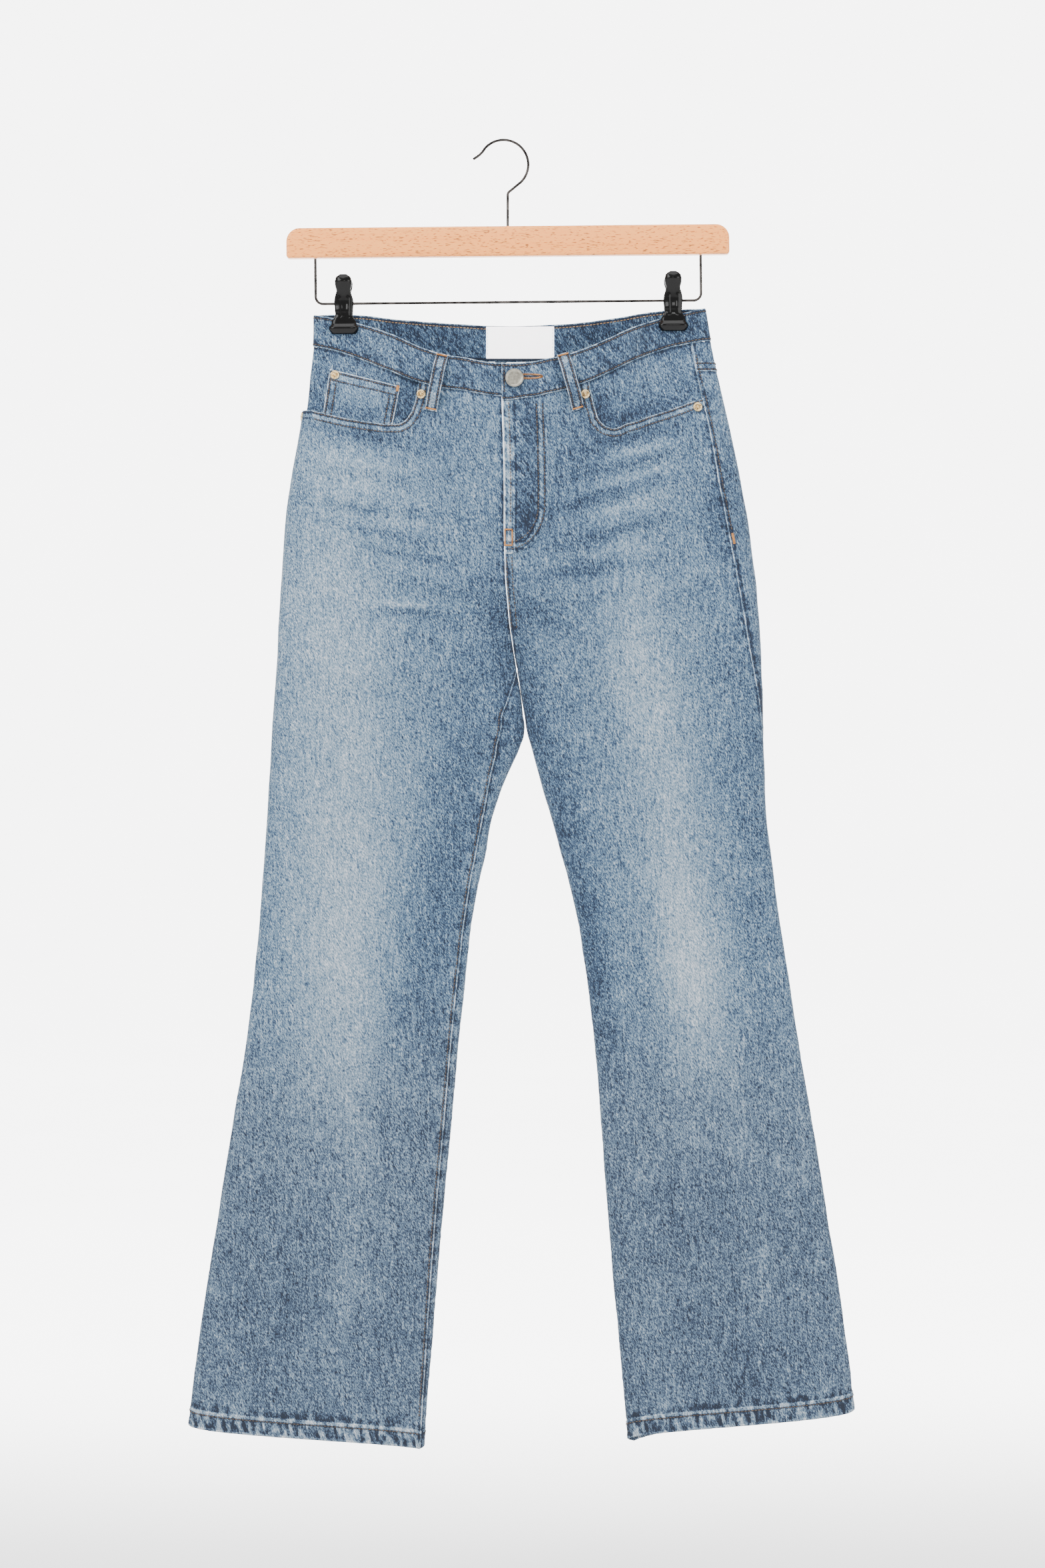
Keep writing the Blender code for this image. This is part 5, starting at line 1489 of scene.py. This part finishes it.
sew("stitches_label", rows, thread_material("white thread", "#f4f0f0", "#dcd6d6"), made, 0.25)


# Belt loops: folded strips of denim with their edges turned under, two rows of stitches down
# each, tacked at both ends in orange thread.

# Each loop's name, its top's x and drop, its foot's x and drop, and whether it is on the back
BELT_LOOPS = (
    ("belt_loop_front_right", -60.5, 206.5, -71.5, 261, False),
    ("belt_loop_front_left", 54.5, 206.0, 69.5, 260, False),
    ("belt_loop_back_right", -92, 171.5, -95, 223.5, True),
    ("belt_loop_back_left", 84, 172, 87, 224.5, True),
    ("belt_loop_back_centre", -5, 177, -5, 231, True),
)
LOOP_WIDTH = 11.5
LOOP_LENGTH = 55
# The room for a belt, and how far from its middle each row of stitches runs
LOOP_ROOM = 6.6
LOOP_ROW = 3.7


def loop_place(row, along, across):
    """Side, turn, drop and lift of a belt loop at a share down it and a distance across it."""
    _, top_x, top_drop, foot_x, foot_drop, on_back = row
    lean = (foot_x - top_x) / (foot_drop - top_drop)
    x = top_x + (foot_x - top_x) * along + across
    drop = top_drop + (foot_drop - top_drop) * along - across * lean
    side, turn = place(x, drop, on_back)
    arch = ease(np.clip((along - 0.05) / 0.22, 0, 1)) * ease(np.clip((0.95 - along) / 0.22, 0, 1))
    foot_sink = BAND_PROUD * ease((along - 0.7) / 0.2)
    return side, turn, drop, BAND_PROUD - foot_sink + GAP + LOOP_CLOTH + LOOP_ROOM * arch + 0.25


for row in BELT_LOOPS:
    name, top_x, top_drop, foot_x, foot_drop, on_back = row
    along = edged(44, 0.02)[:, None]
    across = (edged(9, 0.06) - 0.5) * LOOP_WIDTH
    side, turn, drop, lift = loop_place(row, along, across)
    from_side = LOOP_WIDTH / 2 - np.abs(across) + 0 * along
    down = along * LOOP_LENGTH
    from_end = np.minimum(along, 1 - along) * LOOP_LENGTH + 0 * across
    lift = lift + 0.28 * bell(from_side, 1.0, 0.9) + 0.12 * waves(down, 9, 3)
    streaks = 0.06 * waves(down, 11, len(name)) + 0.05 * waves(down + 3 * across, 5, 1)
    marks = {"wash": 0.03 + streaks + 0 * from_side, "side_mm": from_side + 0.2, "level_mm": from_end,
             "row_mm": from_side - 2.05}
    made = cloth(f"denim_{name}", side, turn, drop, lift, LOOP_CLOTH, denim, marks,
                 (from_side, from_end))
    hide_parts(name)
    rows = []
    for inset in (-LOOP_ROW, LOOP_ROW):
        side, turn, drop, lift = loop_place(row, np.linspace(0.05, 0.95, 60), inset)
        rows.append(stitch_row(side, turn, drop, lift + 0.25, 2.2, 2.9))
    sew(f"stitches_{name}", rows, brown_thread, made)
    rows = []
    for share in (0.028, 0.968):
        side, turn, drop, lift = loop_place(row, np.full(2, share), np.array((-4.9, 4.9)))
        x = surface(side, turn, drop)[:, 0]
        rows.append(zigzag(x[0], drop[0], x[1], drop[1], 1.7, float(lift[0]) + 0.45, on_back))
    sew(f"tacks_{name}", rows, orange_thread, made)


# Back pockets: five-sided patches of the same denim, hemmed along the top and sewn down with
# two rows of stitches. They are hidden in the photo, so they are plain.

BACK_POCKETS = ((-1, -98, 292, "back_pocket_right"), (1, 108, 290, "back_pocket_left"))


POCKET_WIDTH = 138
POCKET_SIDE = 128
POCKET_POINT = 18
PATCH_ROWS = (2.0, 7.9)


def back_pocket_place(side, centre_x, top_drop, along, down):
    """A place at a share across (-1 to 1) and down a back pocket, which narrows to its foot."""
    half = POCKET_WIDTH / 2 * (1 - 0.1 * down)
    x = centre_x + half * along
    drop = top_drop + POCKET_SIDE * down + POCKET_POINT * (1 - np.abs(along)) * down + side * along * 3
    return turn_at(side, x, drop, back=True), drop, x


for side, centre_x, top_drop, name in BACK_POCKETS:
    along = edged(50, 0.008) * 2 - 1
    down = edged(46, 0.008)[:, None]
    turn, drop, x = back_pocket_place(side, centre_x, top_drop, along, down)
    from_side = (1 - np.abs(along)) * 66 + 0 * down
    from_top, from_foot = down * POCKET_SIDE + 0 * along, (1 - down) * 134 + 0 * along
    edge = np.minimum(from_side, from_foot)
    lift = np.maximum(panel_lift(side, turn, drop, False), 0) + GAP + PATCH_CLOTH + 0.3 * bell(edge, 1.6, 1)
    lift = lift + ridge(from_top, 14, 0.3)
    lift = lift + puckers(0.16, drop + x, 9, 2, edge, 9)
    wash = wash_at(turn, x, drop) + 0.03 - 0.08 * bell(edge, 8, 12)
    marks = {"wash": wash, "side_mm": from_side, "level_mm": np.minimum(from_top, from_foot),
             "row_mm": edge - PATCH_ROWS[0], "row_two_mm": edge - PATCH_ROWS[1]}
    made = cloth(f"denim_{name}", side, turn, drop, lift, PATCH_CLOTH, denim, marks,
                 (from_side, from_top, from_foot))
    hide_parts(name)
    rows = []
    for inset in (0.03, 0.12):
        ends = 1 - inset
        down = np.linspace(0.01, ends, 70)
        for line_along, line_down in ((-ends, down), (ends, down), (np.linspace(-ends, ends, 90), ends)):
            turn, drop, x = back_pocket_place(side, centre_x, top_drop, line_along, line_down)
            level = np.maximum(panel_lift(side, turn, drop, False), 0) + GAP + PATCH_CLOTH + 0.35
            rows.append(stitch_row(side, turn, drop, level))
    turn, drop, x = back_pocket_place(side, centre_x, top_drop, np.linspace(-0.98, 0.98, 90), 0.10)
    rows.append(stitch_row(side, turn, drop, GAP + PATCH_CLOTH + 0.6))
    sew(f"stitches_{name}", rows, brown_thread, made)


# Button: a tumbled old-nickel shank button through the tab, with a rolled rim and a plain,
# slightly dished face.

def worn_metal(name, light, dark, roughness, scratch):
    """Plated metal dulled by the wash, darker where the plating has gone."""
    material, tree, shader, own = new_material(name, {"Roughness": roughness, "Metallic": 1.0})
    spots = noise(tree, own, (2.4, 2.4, 2.4), 4.0, 0.65)
    fine = noise(tree, own, (0.5, 0.5, 0.5), 2.0, 0.6)
    paint(tree, shader, spots, ((0.36, dark), (0.62, light)))
    rough = total(tree, roughness, ((spots, 0.5, 0.35 * scratch),))
    tree.links.new(rough, shader.inputs["Roughness"])
    bump(tree, shader, fine, 0.05 * scratch, 0.5)
    return material


def turned(name, profile_points, steps, material):
    """A turned piece: the profile is (radius, height) in millimetres, from the top down."""
    radii, heights = np.array(profile_points).T
    angles = np.arange(steps) * 2 * math.pi / steps
    ring = np.stack([np.cos(angles), np.sin(angles)], axis=1)
    points = [(0, 0, heights[0])]
    for radius, height in zip(radii[1:-1], heights[1:-1]):
        points += [(radius * c, radius * s, height) for c, s in ring]
    points.append((0, 0, heights[-1]))
    faces = []
    last = len(points) - 1
    rows = len(radii) - 2
    for i in range(steps):
        j = (i + 1) % steps
        faces.append((0, 1 + i, 1 + j))
        for row in range(rows - 1):
            a, b = 1 + row * steps, 1 + (row + 1) * steps
            faces.append((a + i, b + i, b + j, a + j))
        foot = 1 + (rows - 1) * steps
        faces.append((foot + j, foot + i, last))
    return piece(name, mesh_of(name, points, faces, 50), material)


def seat_on(made, side, turn, drop, lift):
    """Stands a turned piece on the cloth, its axis along the cloth's outward direction."""
    values = [np.asarray(float(value)) for value in (side, turn, drop)]
    made.location = [float(value) * MM for value in lifted(*values, lift)]
    made.rotation_mode = "QUATERNION"
    made.rotation_quaternion = Vector(outward(*values).tolist()).to_track_quat("Z", "Y")


old_nickel = worn_metal("tumbled old nickel", "#a5a295", "#858177", 0.38, 0.6)
SHANK_BUTTON = ((0, 3.55), (3.2, 3.5), (6.0, 3.6), (6.9, 3.9), (7.4, 4.25), (7.9, 4.4), (8.4, 4.3),
                (8.75, 3.9), (8.9, 3.3), (8.8, 2.7), (8.4, 2.2), (7.4, 1.8), (3.6, 1.8), (3.6, 0), (0, 0))
BUTTON_AT = (8.3, 230)
made = turned("shank_button", SHANK_BUTTON, 72, old_nickel)
seat_on(made, *place(*BUTTON_AT), BUTTON_AT[1], BAND_PROUD + GAP)
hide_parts("waist_button")


# Rivets: domed copper-brass burrs with a rolled rim, at the pocket openings' corners and on
# the coin pocket.

copper_brass = worn_metal("rubbed copper brass", "#e6cfa2", "#b79a6b", 0.24, 0.5)
RIVETS = (
    ("rivet_front_right_inner", -80.8, 244.8, False),
    ("rivet_front_left_inner", 75.8, 244.8, False),
    ("rivet_front_left_outer", 183.6, 256.4, False),
    ("rivet_coin_pocket", -163.6, 225.6, True),
)
BURR = ((0, 1.95), (0.6, 1.9), (1.2, 1.6), (1.5, 1.0), (1.75, 0.55), (2.3, 0.5), (2.7, 0.95), (3.2, 1.4),
        (3.7, 1.5), (4.2, 1.2), (4.5, 0.8), (4.6, 0.4), (4.55, 0), (0, 0))
for name, x, drop, on_pocket in RIVETS:
    side, turn = place(x, drop)
    lift = GAP + 0.1
    if on_pocket:
        lift += float(coin_lift(np.array([x]), np.array([drop]))[0])
    made = turned(f"burr_{name}", BURR, 40, copper_brass)
    seat_on(made, side, turn, drop, lift)
    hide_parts(name)
made = turned("burr_rivet_front_right_outer", BURR, 40, copper_brass)
seat_on(made, -1.0, 0.012, 264.3, -0.3)
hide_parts("rivet_front_right_outer")


# Hanger bar: pale beech, planed and clear lacquered, its top corners well rounded. The hook and
# the rail are set into it.

BAR_WIDTH = 425
BAR_HEIGHT = 28.8
BAR_THICK = 13
BAR_TOP_CORNER = 13
BAR_FOOT_CORNER = 3
BAR_EDGE = 2.4
BAR_DROP = 82
BAR_TILT = math.radians(0.55)
RAIL_HALF_WIDTH = 185
RAIL_DEPTH = 72.5
RAIL_BEND = 7
WIRE_RADIUS = 1.2
# The pale wood glows in its own colour, painted light that brightens and warms it
WOOD_PAINTED_GLOW = 0.95


def beech_wood():
    """Beech: faint straight grain along the bar, with its short dark ray flecks at real size."""
    material, tree, shader, own = new_material("clear lacquered beech", {
        "Roughness": 0.42, "Coat Weight": 0.25, "Coat Roughness": 0.25, "Emission Strength": WOOD_PAINTED_GLOW})
    grain = noise(tree, own, (150, 6, 2.6), 3.0, 0.6)
    bands = noise(tree, own, (260, 20, 11), 2.0, 0.5)
    rays = noise(tree, own, (4.2, 2.0, 1.0), 1.5, 0.5)
    flecks = span(tree, rays, 0.57, 0.66)
    light = total(tree, 0.5, ((grain, 0.5, 0.55), (bands, 0.5, 0.5), (flecks, 0, -0.5)))
    stops = ((0.0, "#a05f22"), (0.2, "#d68638"), (0.42, "#ff9d47"), (0.6, "#ffa44f"), (0.82, "#ffae5c"))
    wood = paint(tree, shader, light, stops)
    # The wood's colour is also its glow: painted light
    tree.links.new(wood, shader.inputs["Emission Color"])
    bump(tree, shader, grain, 0.08, 0.4)
    return material


def arc(centre_x, centre_z, radius, first, last, steps):
    """Points on an arc in the XZ plane, between two angles in degrees."""
    angles = [math.radians(first + (last - first) * i / steps) for i in range(steps + 1)]
    return [(centre_x + radius * math.cos(a), 0, centre_z + radius * math.sin(a)) for a in angles]


def hung(made):
    """Places a piece of the hanger that was built from the middle of the bar's top edge."""
    made.location = (BAR_X * MM, 0, -BAR_DROP * MM)
    made.rotation_euler = (0, -BAR_TILT, 0)
    return made


def rounded_bar():
    """The bar as rings of its outline, pared at both faces to an eased edge."""
    corner_steps = 10
    rings = []
    easing = [math.radians(a) for a in (90, 72, 54, 36, 18, 0)]
    depths = [BAR_THICK / 2 - BAR_EDGE + BAR_EDGE * math.sin(a) for a in easing]
    insets = [BAR_EDGE * (1 - math.cos(a)) for a in easing]
    levels = list(zip([-d for d in depths], insets)) + list(zip(depths[::-1], insets[::-1]))
    for y, inset in levels:
        half, top, foot = BAR_WIDTH / 2 - inset, -inset, -BAR_HEIGHT + inset
        big, small = BAR_TOP_CORNER - inset * 0.6, BAR_FOOT_CORNER - inset * 0.6
        ring = arc(half - big, top - big, big, 0, 90, corner_steps)
        ring += arc(-half + big, top - big, big, 90, 180, corner_steps)
        ring += arc(-half + small, foot + small, small, 180, 270, corner_steps)
        ring += arc(half - small, foot + small, small, 270, 360, corner_steps)
        rings.append([(x, y, z) for x, _, z in ring])
    count = len(rings[0])
    points = [point for ring in rings for point in ring]
    faces = [tuple(range(count))[::-1], tuple((len(rings) - 1) * count + i for i in range(count))]
    for row in range(len(rings) - 1):
        for i in range(count):
            j = (i + 1) % count
            a, b = row * count, (row + 1) * count
            faces.append((a + i, a + j, b + j, b + i))
    return mesh_of("beech_bar", points, faces, 40)


made = hung(piece("beech_bar", rounded_bar(), beech_wood()))
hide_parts("hanger_bar")


# Hook and rail: nickel-plated steel wire, 2.4 mm thick, bent cold. The hook stands in the bar's
# middle, and the rail's ends run up into its underside.

def plated_wire(name, light, dark):
    """Bright plating with faint draw lines along the wire."""
    # The rims of a round wire are painted dark through the specular tint, a painted reflection of the dark
    # parts of the room
    material, tree, shader, own = new_material(name, {
        "Roughness": 0.22, "Metallic": 1.0, "Specular Tint": (0.06, 0.055, 0.05, 1)})
    paint(tree, shader, noise(tree, own, (9, 9, 9), 3.0, 0.6), ((0.35, dark), (0.68, light)))
    bump(tree, shader, noise(tree, own, (0.6, 0.6, 3), 2.0, 0.6), 0.03, 0.4)
    return material


def wire(name, points, radius, material):
    """A round wire through points given as (x, y, z) in millimetres."""
    curve = bpy.data.curves.new(name, "CURVE")
    curve.dimensions = "3D"
    curve.bevel_depth = radius * MM
    curve.bevel_resolution = 5
    curve.use_fill_caps = True
    spline = curve.splines.new("POLY")
    spline.points.add(len(points) - 1)
    for target, point in zip(spline.points, points):
        target.co = (*[value * MM for value in point], 1)
    spline.use_smooth = True
    return piece(name, curve, material)


# The wire's colours are far darker than nickel and mottled: a painted reflection of the dark parts of the
# room
plated_steel = plated_wire("bright nickel-plated steel wire", "#55514e", "#1d1b1a")
HOOK_RADIUS = 23.7
HOOK_CENTRE_X = -2.2
HOOK_TIP = (-31.4, 17.2)
HOOK_KNEE_DROP = 50.5
centre_z = -math.sqrt((HOOK_RADIUS - WIRE_RADIUS) ** 2 - HOOK_CENTRE_X ** 2)
crook = arc(HOOK_CENTRE_X, centre_z, HOOK_RADIUS, -45, 140, 60)
bend = 4
knee = arc(BAR_X + bend, -HOOK_KNEE_DROP - 1, bend, 180, 137, 10)
stem = [(BAR_X, 0, -BAR_DROP + GAP), (BAR_X, 0, -HOOK_KNEE_DROP - 6)]
last = np.array(crook[-1])
tip = np.array((HOOK_TIP[0], 0, -HOOK_TIP[1]))
middle = last + (tip - last) * 0.45 + np.array((0.6, 0, -0.9))
share = np.linspace(0, 1, 12)[1:, None]
control = middle * 2 - (last + tip) / 2
turned_out = (1 - share) ** 2 * last + 2 * share * (1 - share) * control + share ** 2 * tip
points = stem + knee + crook + [tuple(point) for point in turned_out]
made = wire("steel_hook", points, WIRE_RADIUS, plated_steel)
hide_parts("hanger_hook")
half, depth, bend, top = RAIL_HALF_WIDTH, RAIL_DEPTH, RAIL_BEND, -BAR_HEIGHT - GAP
points = [(-half, 0, top)] + arc(-half + bend, -depth + bend, bend, 180, 270, 14)
points += [(x, 0, -depth) for x in (-60, 60)]
points += arc(half - bend, -depth + bend, bend, 270, 360, 14) + [(half, 0, top)]
made = hung(wire("steel_rail", points, WIRE_RADIUS, plated_steel))
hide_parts("hanger_rail")


# Clips: each is two pressed steel levers dipped in glossy black, with a spring wound round
# the rail between them. They pinch the waistband.

LEVER_COLUMNS = ("height", "width", "inner", "thick")
LEVER = (
    (0.0, 6.0, 9.6, 1.6),
    (1.6, 11.2, 9.2, 2.4),
    (4.6, 15.0, 8.6, 3.2),
    (8.4, 16.0, 8.0, 3.4),
    (12.2, 15.0, 7.3, 3.2),
    (15.6, 13.4, 6.7, 2.8),
    (18.6, 15.2, 6.0, 2.6),
    (22.0, 17.0, 5.2, 2.6),
    (34.0, 17.0, 4.6, 2.6),
    (41.0, 18.6, 4.3, 2.6),
    (44.0, 22.6, 4.1, 3.4),
    (46.6, 23.8, 3.85, 4.2),
    (55.4, 24.6, 3.85, 4.2),
    (56.6, 22.6, 3.85, 3.0),
)
CLIP_TOP = 45.5
STUD = ((0, 0.5), (0.8, 0.45), (1.2, 0.2), (1.3, -0.4), (0, -0.4))
STUD_OUT = 8.05
STUD_DROP = 50.5
SPRING_TURNS = 6.5
SPRING_RADIUS = 3.95
SPRING_HALF_WIDTH = 4.0
SPRING_WIRE = 0.62
SPRING_POINTS = 170
lever_at = curves(LEVER_COLUMNS, LEVER)


def black_dip():
    """Thick glossy black dip with a little orange peel, 3 mm across."""
    material, tree, shader, own = new_material("glossy black dipped steel", {
        "Roughness": 0.16, "Coat Weight": 0.22, "Coat Roughness": 0.05, "Specular IOR Level": 0.12})
    peel = noise(tree, own, (3, 3, 3), 2.0, 0.5)
    dust = noise(tree, own, (1.2, 1.2, 1.2), 3.0, 0.6)
    paint(tree, shader, dust, ((0.4, "#040404"), (0.72, "#0a0909")))
    bump(tree, shader, peel, 0.12, 0.5)
    return material


def beside(made, x, y, z):
    """The place this far, in millimetres, from a piece's own place, along its own axes."""
    return made.location + made.matrix_basis.to_3x3() @ Vector((x * MM, y * MM, z * MM))


def lever(name, face, clip_x):
    """One lever: a rounded thumb pad, a neck, a body with two pressed ribs, and a square jaw."""
    heights = np.concatenate([np.linspace(0, 3, 9), np.linspace(3.6, 43, 50), np.linspace(43.4, 56.6, 30)])
    across = np.linspace(-1, 1, 25)
    width, inner, thick = (lever_at[key](heights)[:, None] for key in ("width", "inner", "thick"))
    crown = np.sqrt(np.clip(1 - np.abs(across) ** 5, 0, 1))
    ribs = bell(np.abs(across), 0.16, 0.5) * ease((heights - 19) / 4)[:, None]
    ribs = ribs * (1 - ease((heights - 38) / 4))[:, None]
    pad = 2.2 * bell(heights, 4.4, 7)[:, None] * (1 - across ** 2)
    x = across * width / 2
    outer_y = inner + thick * (0.45 + 0.55 * crown) + 0.7 * ribs + pad
    inner_y = inner + thick * 0.45 * (1 - crown) + 0.5 * ribs + 0 * x
    z = -heights[:, None] + 0 * x
    outer = np.stack([x, face * outer_y, z], axis=-1)
    inner_grid = np.stack([x, face * np.minimum(inner_y, outer_y - 0.5), z], axis=-1)
    made = hung(shell(name, outer, inner_grid, coated_black, {}))
    made.location = beside(made, clip_x, 0, -CLIP_TOP)
    return made


coated_black = black_dip()
stud_steel = plated_wire("bright steel stud", "#e9e7e2", "#b9b6b0")
for word, clip_x in (("right", -CLIP_SPACING), ("left", CLIP_SPACING)):
    for face, place_word in ((-1, "front"), (1, "back")):
        made = lever(f"lever_{word}_{place_word}", face, clip_x)
        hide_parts(f"clip_{word}_{place_word}")
        stud = turned(f"stud_{word}_{place_word}", STUD, 20, stud_steel)
        stud.location = beside(made, 0, face * STUD_OUT, -STUD_DROP)
        stud.rotation_mode = "QUATERNION"
        stud.rotation_quaternion = Vector((0, face, 0)).to_track_quat("Z", "Y")
    angle = np.linspace(0, 2 * math.pi * SPRING_TURNS, SPRING_POINTS)
    along = np.linspace(-SPRING_HALF_WIDTH, SPRING_HALF_WIDTH, SPRING_POINTS)
    points = np.stack([clip_x + along, SPRING_RADIUS * np.cos(angle),
                       -RAIL_DEPTH + SPRING_RADIUS * np.sin(angle)], axis=1)
    made = hung(wire(f"coil_{word}", points.tolist(), SPRING_WIRE, plated_steel))
    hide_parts(f"clip_{word}_spring")


# Studio: a white floor and a lit wall far behind, in one sweep, and large soft lights

def sweep():
    """A backdrop that curves up into a wall far enough behind that the back can be seen too."""
    floor_z, wall_y, radius = -1.46, 9.0, 1.5
    front_y, top_z, half_width = -8.0, 6.0, 9
    line = [(front_y, floor_z), (wall_y - radius, floor_z)]
    for step in range(1, 13):
        angle = math.pi / 2 * step / 12
        line.append((wall_y - radius + radius * math.sin(angle), floor_z + radius * (1 - math.cos(angle))))
    line.append((wall_y, top_z))
    points = [(x, y, z) for y, z in line for x in (-half_width, half_width)]
    faces = [(2 * i, 2 * i + 1, 2 * i + 3, 2 * i + 2) for i in range(len(line) - 1)]
    mesh = mesh_of("backdrop", points, faces, scale=1)
    material, tree, shader, own = new_material("lit white backdrop", {"Roughness": 0.9})
    paper = paint(tree, shader, noise(tree, own, (400, 400, 400)), ((0.3, "#f3f3f3"), (0.7, "#f6f6f6")))
    tree.links.new(paper, shader.inputs["Emission Color"])
    # The far floor and the wall glow like a lit screen, and the floor under the jeans stays plain
    back = node(tree, "ShaderNodeSeparateXYZ", links={0: own}).outputs["Y"]
    tree.links.new(span(tree, back, 0.2, 1.8, 1.2, 6.2), shader.inputs["Emission Strength"])
    mesh.materials.append(material)
    made = bpy.data.objects.new("backdrop", mesh)
    # The screen is seen, but doesn't wash out the back of the jeans with its glow
    made.visible_diffuse = False
    bpy.context.scene.collection.objects.link(made)


def soft_light(name, location, target, size, energy):
    light = bpy.data.lights.new(name, "AREA")
    light.shape = "RECTANGLE"
    light.size, light.size_y = size
    light.energy = energy
    made = bpy.data.objects.new(name, light)
    made.location = location
    made.rotation_mode = "QUATERNION"
    made.rotation_quaternion = (Vector(target) - Vector(location)).to_track_quat("-Z", "Y")
    bpy.context.scene.collection.objects.link(made)


# Each light's name, place, the height it points at, size in metres and power in watts
LIGHTS = (
    ("key", (-2.2, -2.6, 1.3), -0.6, (1.8, 2.2), 98),
    ("fill", (2.6, -2.4, 0.2), -0.7, (1.8, 2.4), 52),
    ("front", (0.2, -3.3, 0.75), -0.3, (0.5, 0.5), 7),
    ("top", (0, -1.1, 2.2), -0.5, (2.4, 1.4), 42),
    ("back", (0.6, 3.2, 1.2), -0.6, (2.0, 2.0), 50),
)
sweep()
for name, location, aim_z, size, watts in LIGHTS:
    soft_light(name, location, (0, 0, aim_z), size, watts)
world = bpy.data.worlds.new("studio")
world.use_nodes = True
world.node_tree.nodes["Background"].inputs["Color"].default_value = (1, 1, 1, 1)
world.node_tree.nodes["Background"].inputs["Strength"].default_value = 0.86
bpy.context.scene.world = world

camera_data = bpy.data.cameras.new("camera")
camera_data.lens = 85
camera_data.sensor_width = 36
camera_data.sensor_fit = "AUTO"
camera = bpy.data.objects.new("camera", camera_data)
camera.location = (0.016, -3.554, -0.617)
camera.rotation_euler = (math.radians(90), 0, 0)
bpy.context.scene.collection.objects.link(camera)
bpy.context.scene.camera = camera
